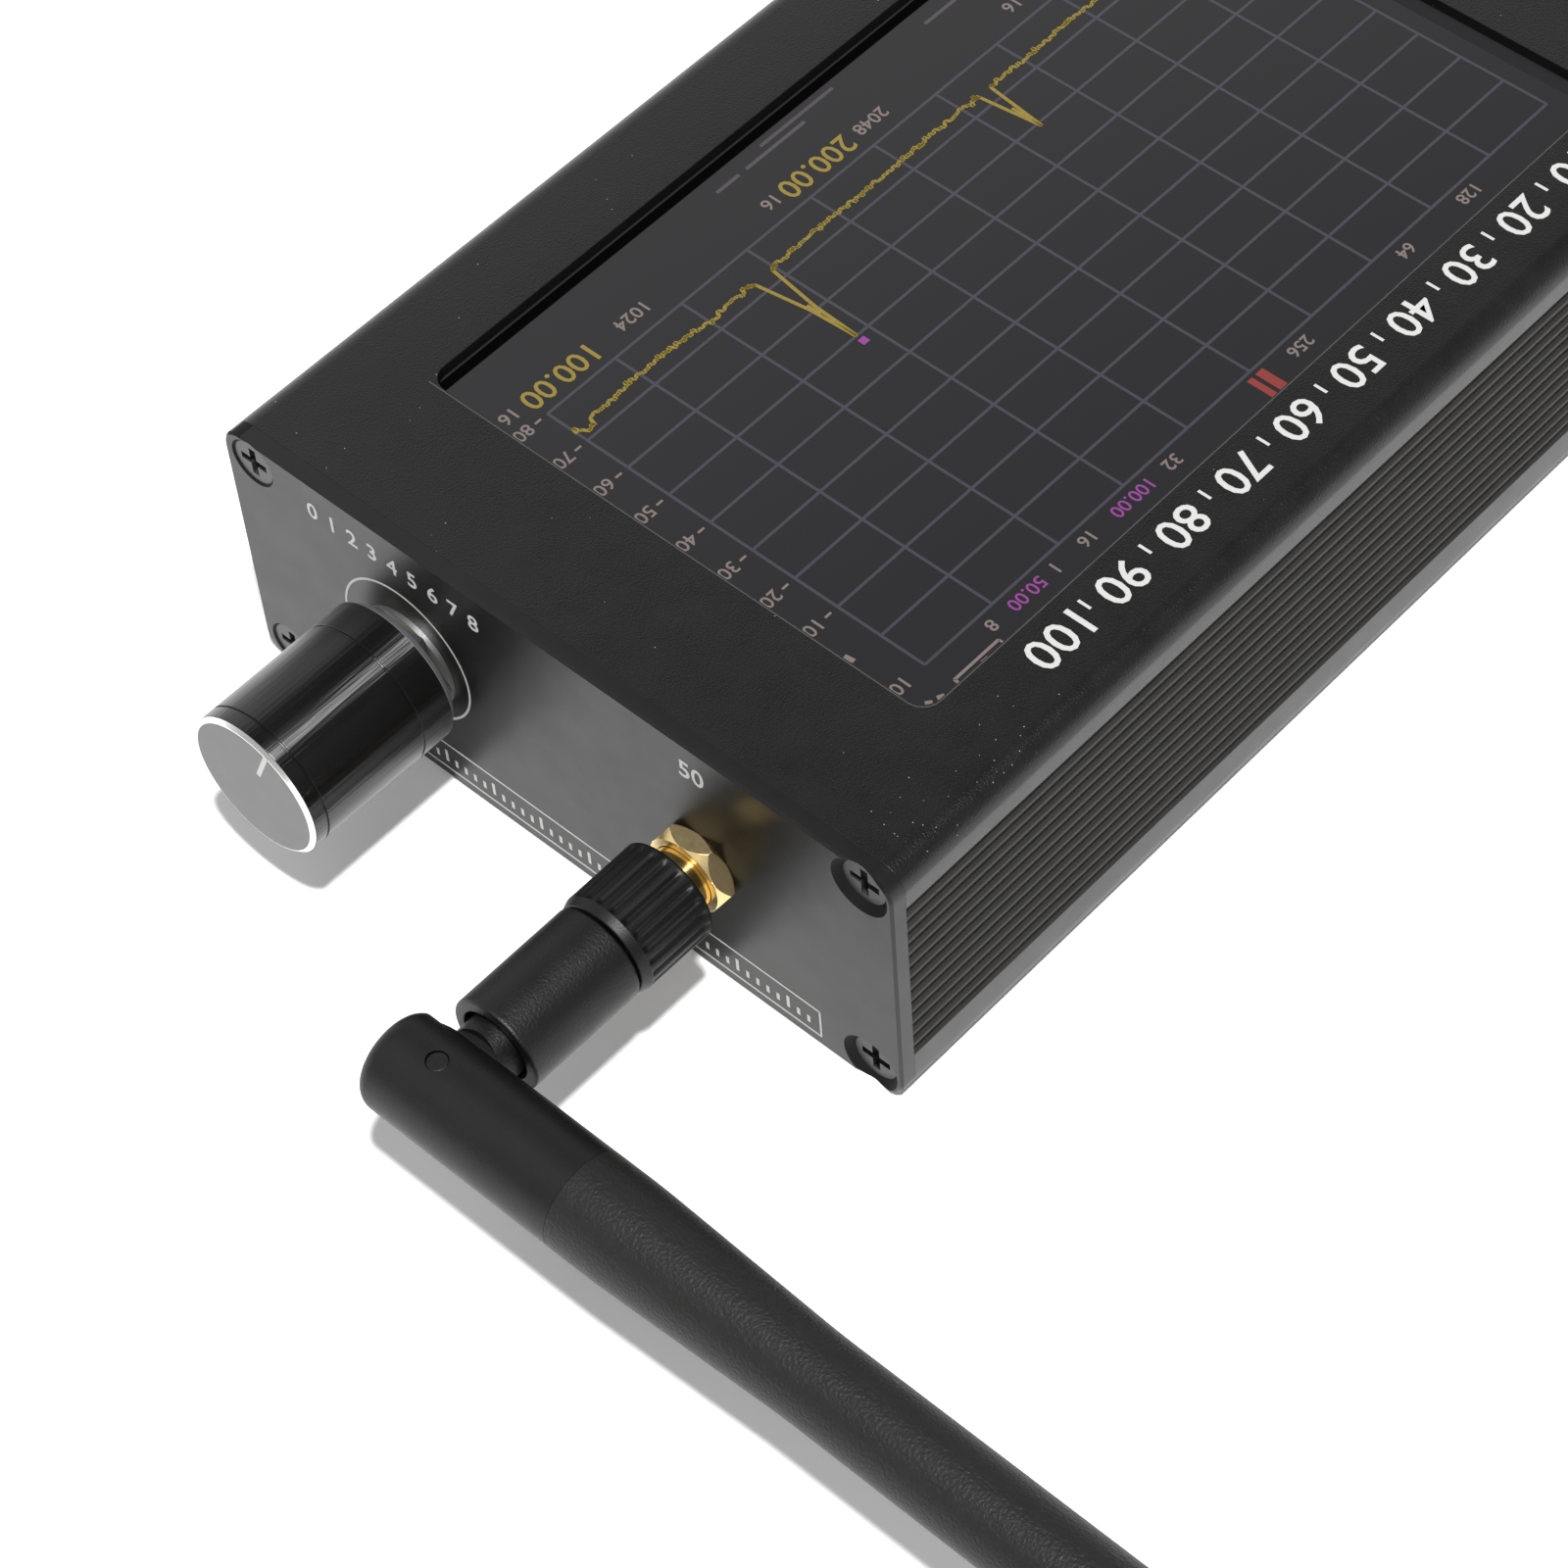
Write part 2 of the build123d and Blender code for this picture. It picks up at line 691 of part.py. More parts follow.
lead_low = (battery_bottom + battery_top) / 2
lead_high = (cavity_low + cavity_high) / 2
lead_rise = math.hypot(lead_span_length - 2 * lead_straight, lead_high - lead_low)
lead_turn = math.atan2(lead_high - lead_low, lead_span_length - 2 * lead_straight)
lead_bend_radius = 0.45 * min(lead_straight, lead_rise) / math.tan(lead_turn / 2)
battery_lead_list = []
for side in (-1, 1):
    lead_x = battery_lead_x + side * battery_lead_spacing / 2
    with BuildPart() as battery_lead:
        with BuildLine() as lead_path:
            FilletPolyline((lead_x, battery_rear, lead_low), (lead_x, battery_rear + lead_straight, lead_low),
                           (lead_x, plug_rear - lead_straight, lead_high), (lead_x, plug_rear, lead_high),
                           radius=lead_bend_radius)
        with BuildSketch(Plane(origin=lead_path.line @ 0, z_dir=lead_path.line % 0)):
            Circle(battery_lead_radius)
        sweep()
    battery_lead_list.append(battery_lead.part)
battery_leads = Compound(label="battery_leads", children=battery_lead_list)
export_step(battery_leads, "parts/battery_leads.step")
print("battery lead bend radius", round(lead_bend_radius, 2), "wire radius", battery_lead_radius)

# Rotary encoder: bushing with its flange, housing, switch dome and pins
flange_back = front_inner + encoder_flange_thickness
bushing_front = front_inner - bushing_length
encoder_low = axis_z - encoder_height / 2
encoder_high = axis_z + encoder_height / 2
with BuildPart() as encoder_bushing:
    block((knob_x - encoder_width / 2, knob_x + encoder_width / 2), (front_inner, flange_back),
          (encoder_low, encoder_high))
    with BuildSketch(turning_plane(knob_x)):
        band(0, bushing_radius, bushing_front, front_inner)
    revolve(axis=turning_axis(knob_x))
    with BuildSketch(turning_plane(knob_x)):
        band(0, shaft_radius + running_gap, bushing_front, flange_back)
    revolve(axis=turning_axis(knob_x), mode=Mode.SUBTRACT)
encoder_bushing.part.label = "encoder_bushing"
export_step(encoder_bushing.part, "parts/encoder_bushing.step")

cavity_back = encoder_back - encoder_back_wall
with BuildPart() as encoder_housing:
    block((knob_x - encoder_width / 2, knob_x + encoder_width / 2), (flange_back, encoder_back),
          (encoder_low, encoder_high))
    with BuildSketch(turning_plane(knob_x)):
        band(0, encoder_cavity_radius, flange_back, cavity_back)
    revolve(axis=turning_axis(knob_x), mode=Mode.SUBTRACT)
encoder_housing.part.label = "encoder_housing"
export_step(encoder_housing.part, "parts/encoder_housing.step")

with BuildPart() as encoder_dome:
    with BuildSketch(turning_plane(knob_x)):
        with BuildLine():
            Polyline((0, cavity_back - dome_height), (dome_radius, cavity_back - dome_thickness),
                     (dome_radius, cavity_back), (0, cavity_back - dome_height + dome_thickness), close=True)
        make_face()
    revolve(axis=turning_axis(knob_x))
encoder_dome.part.label = "encoder_dome"
export_step(encoder_dome.part, "parts/encoder_dome.step")

with BuildPart() as encoder_pins:
    for k in range(-2, 3):
        pin_x = knob_x + k * encoder_pin_pitch
        block((pin_x - encoder_pin_width / 2, pin_x + encoder_pin_width / 2),
              (encoder_back, encoder_back + encoder_pin_length),
              (board_top, board_top + encoder_pin_thickness))
encoder_pins.part.label = "encoder_pins"
export_step(encoder_pins.part, "parts/encoder_pins.step")

# Plunger under the shaft, which presses the dome
plunger_back = cavity_back - dome_height - push_travel - push_spare
plunger_front = plunger_back - plunger_thickness
with BuildPart() as encoder_plunger:
    with BuildSketch(turning_plane(knob_x)):
        band(0, plunger_radius, plunger_front, plunger_back)
    revolve(axis=turning_axis(knob_x))
encoder_plunger.part.label = "encoder_plunger"
export_step(encoder_plunger.part, "parts/encoder_plunger.step")

# Shaft with its collar and its flat
collar_front = flange_back + running_gap
shaft_end = front_face - shaft_reach
knob_back = front_face - knob_plate_gap
recess_bottom = knob_back - knob_recess_depth
with BuildPart() as encoder_shaft:
    with BuildSketch(turning_plane(knob_x)):
        with BuildLine():
            Polyline((0, shaft_end), (shaft_radius, shaft_end), (shaft_radius, collar_front),
                     (shaft_collar_radius, collar_front),
                     (shaft_collar_radius, collar_front + shaft_collar_thickness),
                     (shaft_radius, collar_front + shaft_collar_thickness),
                     (shaft_radius, plunger_front - running_gap), (0, plunger_front - running_gap),
                     close=True)
        make_face()
    revolve(axis=turning_axis(knob_x))
    block((knob_x - shaft_radius, knob_x + shaft_radius), (shaft_end, recess_bottom),
          (axis_z + shaft_radius - shaft_flat_depth, axis_z + shaft_radius), mode=Mode.SUBTRACT)
encoder_shaft.part.label = "encoder_shaft"
export_step(encoder_shaft.part, "parts/encoder_shaft.step")

# Washer and nut that hold the encoder to the plate
washer_front = front_face - encoder_washer_thickness
with BuildPart() as encoder_washer:
    with BuildSketch(turning_plane(knob_x)):
        band(bushing_radius + thread_gap, encoder_washer_radius, washer_front, front_face)
    revolve(axis=turning_axis(knob_x))
encoder_washer.part.label = "encoder_washer"
export_step(encoder_washer.part, "parts/encoder_washer.step")

with BuildPart() as encoder_nut:
    with BuildSketch(station(washer_front)):
        with Locations((knob_x, axis_z)):
            RegularPolygon(encoder_nut_flat / 2, 6, major_radius=False)
            Circle(bushing_radius + thread_gap, mode=Mode.SUBTRACT)
    extrude(amount=encoder_nut_thickness)
encoder_nut.part.label = "encoder_nut"
export_step(encoder_nut.part, "parts/encoder_nut.step")

# Knob: turned shell with two ring grooves, bevelled front rim and engraved pointer
knob_front = knob_back - knob_length
shell_floor = knob_front + knob_front_wall
with BuildPart() as knob_shell:
    with BuildSketch(turning_plane(knob_x)):
        with BuildLine():
            Polyline((0, knob_front), (knob_radius - knob_bevel_width, knob_front),
                     (knob_radius, knob_front + knob_bevel_length),
                     (knob_radius, knob_back - knob_back_chamfer),
                     (knob_radius - knob_back_chamfer, knob_back), (knob_recess_radius, knob_back),
                     (knob_recess_radius, shell_floor), (0, shell_floor), close=True)
        make_face()
        for groove in (knob_front + knob_front_groove, knob_back - knob_back_groove):
            with Locations((knob_radius, groove)):
                Rectangle(2 * knob_groove_depth, knob_groove_width, mode=Mode.SUBTRACT)
    revolve(axis=turning_axis(knob_x))
    with BuildSketch(station(knob_front + pointer_depth)):
        with Locations((knob_x, axis_z)):
            pointer_middle = knob_radius - knob_bevel_width - pointer_length / 2
            with PolarLocations(pointer_middle, 1, start_angle=pointer_angle):
                Rectangle(pointer_length, pointer_width)
    extrude(amount=pointer_depth, mode=Mode.SUBTRACT)
knob_shell.part.label = "knob_shell"
export_step(knob_shell.part, "parts/knob_shell.step")

# Plastic core of the knob, pushed onto the shaft's flat
core_radius = knob_recess_radius - knob_core_gap
bore_radius = shaft_radius + knob_core_gap
core_flat_z = axis_z + shaft_radius - shaft_flat_depth + knob_core_gap
with BuildPart() as knob_core:
    with BuildSketch(station(recess_bottom)):
        with Locations((knob_x, axis_z)):
            Circle(core_radius)
    extrude(amount=recess_bottom - shell_floor)
    with BuildSketch(station(recess_bottom)):
        with Locations((knob_x, axis_z)):
            Circle(bore_radius)
        with Locations((knob_x, core_flat_z + bore_radius)):
            Rectangle(2 * bore_radius, 2 * bore_radius, mode=Mode.SUBTRACT)
    extrude(amount=recess_bottom - shaft_end, mode=Mode.SUBTRACT)
knob_core.part.label = "knob_core"
export_step(knob_core.part, "parts/knob_core.step")

# Coaxial jack: shell with shoulder and four board legs, insulator and centre contact
jack_front = front_face - jack_nose
shoulder_front = front_inner + lock_washer_thickness
insulator_front = jack_front + jack_mouth_depth
with BuildPart() as jack_shell:
    with BuildSketch(turning_plane(jack_x)):
        with BuildLine():
            Polyline((jack_bore_radius, shoulder_back), (jack_shoulder_radius, shoulder_back),
                     (jack_shoulder_radius, shoulder_front), (jack_radius, shoulder_front),
                     (jack_radius, jack_front), (jack_mouth_radius, jack_front),
                     (jack_mouth_radius, insulator_front), (jack_bore_radius, insulator_front), close=True)
        make_face()
    revolve(axis=turning_axis(jack_x))
    for side in (-1, 1):
        leg_x = jack_x + side * jack_leg_spread
        leg_heights = ((board_top, board_top + jack_leg_width), (board_bottom - jack_leg_width, board_bottom))
        for low, high in leg_heights:
            block((leg_x - jack_leg_width / 2, leg_x + jack_leg_width / 2),
                  (shoulder_back - jack_board_gap, shoulder_back + jack_leg_length), (low, high))
jack_shell.part.label = "jack_shell"
export_step(jack_shell.part, "parts/jack_shell.step")

with BuildPart() as jack_insulator:
    with BuildSketch(turning_plane(jack_x)):
        band(contact_radius, jack_bore_radius, insulator_front, shoulder_back)
    revolve(axis=turning_axis(jack_x))
jack_insulator.part.label = "jack_insulator"
export_step(jack_insulator.part, "parts/jack_insulator.step")

with BuildPart() as jack_contact:
    with BuildSketch(turning_plane(jack_x)):
        with BuildLine():
            Polyline((antenna_pin_radius + running_gap, insulator_front), (contact_radius, insulator_front),
                     (contact_radius, shoulder_back), (contact_tail_radius, shoulder_back),
                     (contact_tail_radius, shoulder_back + contact_tail_length),
                     (0, shoulder_back + contact_tail_length), (0, insulator_front + contact_bore_depth),
                     (antenna_pin_radius + running_gap, insulator_front + contact_bore_depth), close=True)
        make_face()
    revolve(axis=turning_axis(jack_x))
jack_contact.part.label = "jack_contact"
export_step(jack_contact.part, "parts/jack_contact.step")

with BuildPart() as jack_lock_washer:
    with BuildSketch(turning_plane(jack_x)):
        band(jack_radius + thread_gap, lock_washer_radius, front_inner, shoulder_front)
    revolve(axis=turning_axis(jack_x))
jack_lock_washer.part.label = "jack_lock_washer"
export_step(jack_lock_washer.part, "parts/jack_lock_washer.step")

# Hexagon nut on the jack, its corners turned off at both faces
nut_front = front_face - jack_nut_thickness
nut_corner_radius = jack_nut_flat / math.sqrt(3)
with BuildPart() as jack_nut:
    with BuildSketch(station(front_face)):
        with Locations((jack_x, axis_z)):
            RegularPolygon(jack_nut_flat / 2, 6, major_radius=False)
            Circle(jack_radius + thread_gap, mode=Mode.SUBTRACT)
    extrude(amount=jack_nut_thickness)
    with BuildSketch(turning_plane(jack_x)):
        with BuildLine():
            Polyline((0, front_face), (jack_nut_face_radius, front_face),
                     (nut_corner_radius + thread_gap, front_face - jack_nut_back_chamfer),
                     (nut_corner_radius + thread_gap, front_face - jack_nut_straight),
                     (jack_nut_face_radius, nut_front), (0, nut_front), close=True)
        make_face()
    revolve(axis=turning_axis(jack_x), mode=Mode.INTERSECT)
jack_nut.part.label = "jack_nut"
export_step(jack_nut.part, "parts/jack_nut.step")

# Antenna coupling: fluted plastic sleeve over a brass insert
sleeve_back = front_face - sleeve_plate_gap
sleeve_front = sleeve_back - sleeve_length
sleeve_nose = sleeve_front - sleeve_taper_length
insert_back = sleeve_back - sleeve_lip
ferrule_face = jack_front - running_gap
ferrule_flange_front = ferrule_face - ferrule_flange_thickness
insert_step = ferrule_flange_front - running_gap
insert_front = insert_step - insert_wall
with BuildPart() as coupling_sleeve:
    with BuildSketch(turning_plane(jack_x)):
        with BuildLine():
            Polyline((jack_radius + running_gap, sleeve_back), (sleeve_radius, sleeve_back),
                     (sleeve_radius, sleeve_front), (sleeve_nose_radius, sleeve_nose),
                     (ferrule_radius + sleeve_bore_gap, sleeve_nose),
                     (ferrule_radius + sleeve_bore_gap, insert_front),
                     (insert_radius + press_gap, insert_front), (insert_radius + press_gap, insert_back),
                     (jack_radius + running_gap, insert_back), close=True)
        make_face()
    revolve(axis=turning_axis(jack_x))
    with BuildSketch(station(sleeve_back - flute_end_margin)):
        with Locations((jack_x, axis_z)):
            with PolarLocations(sleeve_radius + flute_radius / 4, flute_count):
                Circle(flute_radius)
    extrude(amount=sleeve_length - flute_end_margin, mode=Mode.SUBTRACT)
coupling_sleeve.part.label = "coupling_sleeve"
export_step(coupling_sleeve.part, "parts/coupling_sleeve.step")

with BuildPart() as coupling_insert:
    with BuildSketch(turning_plane(jack_x)):
        with BuildLine():
            Polyline((jack_radius + running_gap, insert_back), (insert_radius, insert_back),
                     (insert_radius, insert_front), (ferrule_radius + running_gap, insert_front),
                     (ferrule_radius + running_gap, insert_step), (jack_radius + running_gap, insert_step),
                     close=True)
        make_face()
    revolve(axis=turning_axis(jack_x))
coupling_insert.part.label = "coupling_insert"
export_step(coupling_insert.part, "parts/coupling_insert.step")

# Antenna ferrule, insulator and centre pin
ferrule_end = ferrule_face - ferrule_length
with BuildPart() as antenna_ferrule:
    with BuildSketch(turning_plane(jack_x)):
        with BuildLine():
            Polyline((ferrule_bore_radius, ferrule_face), (ferrule_flange_radius, ferrule_face),
                     (ferrule_flange_radius, ferrule_flange_front), (ferrule_radius, ferrule_flange_front),
                     (ferrule_radius, ferrule_end), (ferrule_bore_radius, ferrule_end), close=True)
        make_face()
    revolve(axis=turning_axis(jack_x))
antenna_ferrule.part.label = "antenna_ferrule"
export_step(antenna_ferrule.part, "parts/antenna_ferrule.step")

with BuildPart() as antenna_insulator:
    with BuildSketch(turning_plane(jack_x)):
        band(antenna_pin_radius + press_gap, ferrule_bore_radius - press_gap, ferrule_end, ferrule_face)
    revolve(axis=turning_axis(jack_x))
antenna_insulator.part.label = "antenna_insulator"
export_step(antenna_insulator.part, "parts/antenna_insulator.step")

with BuildPart() as antenna_pin:
    with BuildSketch(turning_plane(jack_x)):
        band(0, antenna_pin_radius, ferrule_end, ferrule_face + antenna_pin_reach)
    revolve(axis=turning_axis(jack_x))
antenna_pin.part.label = "antenna_pin"
export_step(antenna_pin.part, "parts/antenna_pin.step")

# Antenna stub: round barrel on the ferrule, open at the elbow end
stub_back = sleeve_nose - stub_gap
stub_front = hinge_y + stub_hinge_gap
stub_floor = stub_back - stub_rear_wall
with BuildPart() as antenna_stub:
    with BuildSketch(turning_plane(jack_x)):
        with BuildLine():
            Polyline((ferrule_radius + press_gap, stub_back), (stub_radius - stub_edge_break, stub_back),
                     (stub_radius, stub_back - stub_edge_break), (stub_radius, stub_front + stub_edge_break),
                     (stub_radius - stub_edge_break, stub_front), (neck_radius + press_gap, stub_front),
                     (neck_radius + press_gap, stub_floor), (ferrule_radius + press_gap, stub_floor),
                     close=True)
        make_face()
    revolve(axis=turning_axis(jack_x))
antenna_stub.part.label = "antenna_stub"
export_step(antenna_stub.part, "parts/antenna_stub.step")

# Elbow knuckle: round neck in the stub, thinner where it comes out, and a tongue on the pin that
# starts where the whip's ears end
hinge_plane = Plane.XY.offset(axis_z)
boss_radius = waist_radius + elbow_gap
ear_radius = whip_radius
tongue_half = tongue_thickness / 2
slot_half_height = tongue_half + slot_gap
with BuildPart() as elbow_knuckle:
    with BuildSketch(turning_plane(jack_x)):
        band(0, waist_radius, hinge_y, stub_front)
        band(0, neck_radius, stub_front + waist_depth, stub_floor)
        band(0, waist_radius, stub_front, stub_front + waist_depth)
    revolve(axis=turning_axis(jack_x))
    with BuildSketch(hinge_plane):
        with Locations((hinge_x, hinge_y)):
            Circle(ear_radius + elbow_gap)
    extrude(amount=neck_radius, both=True, mode=Mode.SUBTRACT)
    with BuildSketch(hinge_plane):
        with Locations((hinge_x, hinge_y)):
            Circle(tongue_radius)
    extrude(amount=tongue_half, both=True)
    with BuildSketch(station(hinge_y)):
        with Locations((jack_x, axis_z)):
            Circle(waist_radius)
            Rectangle(2 * waist_radius, tongue_thickness, mode=Mode.INTERSECT)
    extrude(amount=-(ear_radius + 2 * elbow_gap))
    with BuildSketch(hinge_plane):
        with Locations((hinge_x, hinge_y)):
            Circle(hinge_pin_radius + running_gap)
    extrude(amount=tongue_half, both=True, mode=Mode.SUBTRACT)
elbow_knuckle.part.label = "elbow_knuckle"
export_step(elbow_knuckle.part, "parts/elbow_knuckle.step")

# Hinge pin, held in the whip's two ears
pin_half = whip_radius - pin_recess
with BuildPart() as hinge_pin:
    with BuildSketch(hinge_plane):
        with Locations((hinge_x, hinge_y)):
            Circle(hinge_pin_radius)
    extrude(amount=pin_half, both=True)
hinge_pin.part.label = "hinge_pin"
export_step(hinge_pin.part, "parts/hinge_pin.step")

# Room that the neck and tongue need in the whip's base, from folded square to straight
tail_radius = stub_hinge_gap - swing_gap
whip_axis = Axis((0, hinge_y, axis_z), (1, 0, 0))
whip_plane = Plane(origin=(0, hinge_y, axis_z), x_dir=(1, 0, 0), z_dir=(0, 0, 1))
with BuildPart() as elbow_room:
    block((hinge_x - 2 * whip_radius, hinge_x), (hinge_y, hinge_y + 2 * whip_radius),
          (axis_z - boss_radius, axis_z + boss_radius))
    with BuildSketch(whip_plane):
        with Locations((hinge_x - whip_radius + slot_gap / 2, boss_radius / 2)):
            Rectangle(2 * whip_radius + slot_gap, boss_radius)
    revolve(axis=whip_axis)
    with BuildSketch(turning_plane(hinge_x)):
        band(0, boss_radius, hinge_y - slot_gap, hinge_y + 2 * whip_radius)
    revolve(axis=turning_axis(hinge_x))
    for low, high in ((slot_half_height, 2 * whip_radius), (-2 * whip_radius, -slot_half_height)):
        with BuildSketch(Plane.XY.offset(axis_z + low)):
            with Locations((hinge_x, hinge_y)):
                Circle(ear_radius)
        extrude(amount=high - low, mode=Mode.SUBTRACT)
    with BuildSketch(hinge_plane):
        with Locations((hinge_x, hinge_y)):
            Circle(tongue_radius + 2 * slot_gap)
    extrude(amount=slot_half_height, both=True)

# Whip base: closed round tail, its inner half turned off so that it swings past the stub, slotted
# for the elbow, with a spigot for the radome
base_end = hinge_x + whip_base_length
spigot_end = base_end + spigot_length
plug_start = spigot_end - element_plug_depth
with BuildPart() as whip_base:
    with BuildSketch(whip_plane):
        with BuildLine():
            Polyline((hinge_x - tail_radius + tail_round, whip_radius), (base_end, whip_radius),
                     (base_end, spigot_radius), (spigot_end, spigot_radius),
                     (spigot_end, element_wire_radius + press_gap),
                     (plug_start, element_wire_radius + press_gap), (plug_start, 0),
                     (hinge_x - tail_radius, 0), (hinge_x - tail_radius, whip_radius - tail_round))
            RadiusArc((hinge_x - tail_radius, whip_radius - tail_round),
                      (hinge_x - tail_radius + tail_round, whip_radius), tail_round)
        make_face()
    revolve(axis=whip_axis)
    with BuildSketch(hinge_plane):
        with Locations((hinge_x, hinge_y)):
            Circle(tail_radius)
        with Locations(((hinge_x + spigot_end) / 2, hinge_y)):
            Rectangle(spigot_end - hinge_x, 2 * whip_radius)
        with Locations((hinge_x - tail_radius / 2, hinge_y - whip_radius / 2)):
            Rectangle(tail_radius, whip_radius)
    extrude(amount=whip_radius, both=True, mode=Mode.INTERSECT)
    add(elbow_room.part, mode=Mode.SUBTRACT)
    with BuildSketch(hinge_plane):
        with Locations((hinge_x, hinge_y)):
            Circle(hinge_pin_radius + press_gap)
    extrude(amount=whip_radius, both=True, mode=Mode.SUBTRACT)
whip_base.part.label = "whip_base"
export_step(whip_base.part, "parts/whip_base.step")

# Whip radome: hollow, stepping down from the base to a slimmer rod with a rounded tip
tip = hinge_x + whip_reach
taper_start = base_end + radome_shoulder
taper_end = taper_start + radome_taper
spigot_bore = spigot_radius + spigot_gap
bore_step = spigot_end + spigot_gap
with BuildPart() as whip_radome:
    with BuildSketch(whip_plane):
        with BuildLine():
            Polyline((tip, radome_radius - radome_tip_fillet), (tip, 0), (tip - radome_tip_wall, 0),
                     (tip - radome_tip_wall, radome_bore_radius), (bore_step, radome_bore_radius),
                     (bore_step, spigot_bore), (base_end, spigot_bore), (base_end, whip_radius),
                     (taper_start, whip_radius), (taper_end, radome_radius),
                     (tip - radome_tip_fillet, radome_radius))
            RadiusArc((tip - radome_tip_fillet, radome_radius), (tip, radome_radius - radome_tip_fillet),
                      radome_tip_fillet)
        make_face()
    revolve(axis=whip_axis)
whip_radome.part.label = "whip_radome"
export_step(whip_radome.part, "parts/whip_radome.step")

# Radiating element: feed wire in the base, wide sleeve, then a thin rod towards the tip
sleeve_start = bore_step
sleeve_end = sleeve_start + element_sleeve_length
with BuildPart() as whip_element:
    with BuildSketch(whip_plane):
        with BuildLine():
            Polyline((plug_start, 0), (plug_start, element_wire_radius), (sleeve_start, element_wire_radius),
                     (sleeve_start, element_radius), (sleeve_end, element_radius),
                     (sleeve_end, element_wire_radius), (tip - radome_tip_wall, element_wire_radius),
                     (tip - radome_tip_wall, 0), close=True)
        make_face()
    revolve(axis=whip_axis)
whip_element.part.label = "whip_element"
export_step(whip_element.part, "parts/whip_element.step")

# Power switch at the rear: body with its slot, and the lever at one end of its travel
switch_front = board_rear - switch_end_gap
lever_start_x = switch_x - lever_travel / 2
lever_inner = switch_front - lever_root
with BuildPart() as switch_body:
    block((switch_x - switch_width / 2, switch_x + switch_width / 2),
          (switch_front - switch_depth, switch_front), (board_top, board_top + switch_height))
    lever_sweep = (lever_width + lever_travel) / 2 + lever_gap
    block((switch_x - lever_sweep, switch_x + lever_sweep), (lever_inner - lever_gap, switch_front),
          (lever_z - lever_height / 2 - lever_gap, lever_z + lever_height / 2 + lever_gap),
          mode=Mode.SUBTRACT)
switch_body.part.label = "switch_body"
export_step(switch_body.part, "parts/switch_body.step")

with BuildPart() as switch_lever:
    block((lever_start_x - lever_width / 2, lever_start_x + lever_width / 2),
          (lever_inner, rear_face + lever_reach), (lever_z - lever_height / 2, lever_z + lever_height / 2))
switch_lever.part.label = "switch_lever"
export_step(switch_lever.part, "parts/switch_lever.step")

# Charging socket: flattened tube with a blade in it
socket_mouth = rear_face - socket_recess
socket_back = socket_mouth - socket_length
with BuildPart() as socket_shell:
    with BuildSketch(station(socket_mouth)):
        with Locations((socket_x, socket_z)):
            SlotOverall(socket_width, socket_height)
            SlotOverall(socket_width - 2 * socket_wall, socket_height - 2 * socket_wall, mode=Mode.SUBTRACT)
    extrude(amount=socket_length)
socket_shell.part.label = "socket_shell"
export_step(socket_shell.part, "parts/socket_shell.step")

with BuildPart() as socket_tongue:
    with BuildSketch(station(socket_back + socket_base_thickness)):
        with Locations((socket_x, socket_z)):
            SlotOverall(socket_width - 2 * socket_wall - press_gap,
                        socket_height - 2 * socket_wall - press_gap)
    extrude(amount=socket_base_thickness)
    block((socket_x - tongue_blade_width / 2, socket_x + tongue_blade_width / 2),
          (socket_back + socket_base_thickness, socket_back + socket_base_thickness + tongue_blade_length),
          (socket_z - tongue_blade_thickness / 2, socket_z + tongue_blade_thickness / 2))
socket_tongue.part.label = "socket_tongue"
export_step(socket_tongue.part, "parts/socket_tongue.step")

# Charge lamp: round lens through the rear plate
lamp_tip = rear_face + lamp_hole_gap
lamp_back = lamp_tip - lamp_length
with BuildPart() as charge_lamp:
    with BuildSketch(Plane(origin=(lamp_x, 0, lamp_z), x_dir=(1, 0, 0), z_dir=(0, 0, 1))):
        band(0, lamp_radius, lamp_back, lamp_tip)
        band(0, lamp_flange_radius, lamp_back, lamp_back + lamp_flange_thickness)
    revolve(axis=Axis((lamp_x, 0, lamp_z), (0, 1, 0)))
    fillet(charge_lamp.edges().sort_by(Axis.Y)[-1], lamp_radius / 2)
charge_lamp.part.label = "charge_lamp"
export_step(charge_lamp.part, "parts/charge_lamp.step")

print("case", round(case_width, 2), "x", round(case_length, 2), "x", round(case_height, 2))
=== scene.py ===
import json
import math
import bmesh
import bpy
import numpy as np
from mathutils import Matrix, Vector

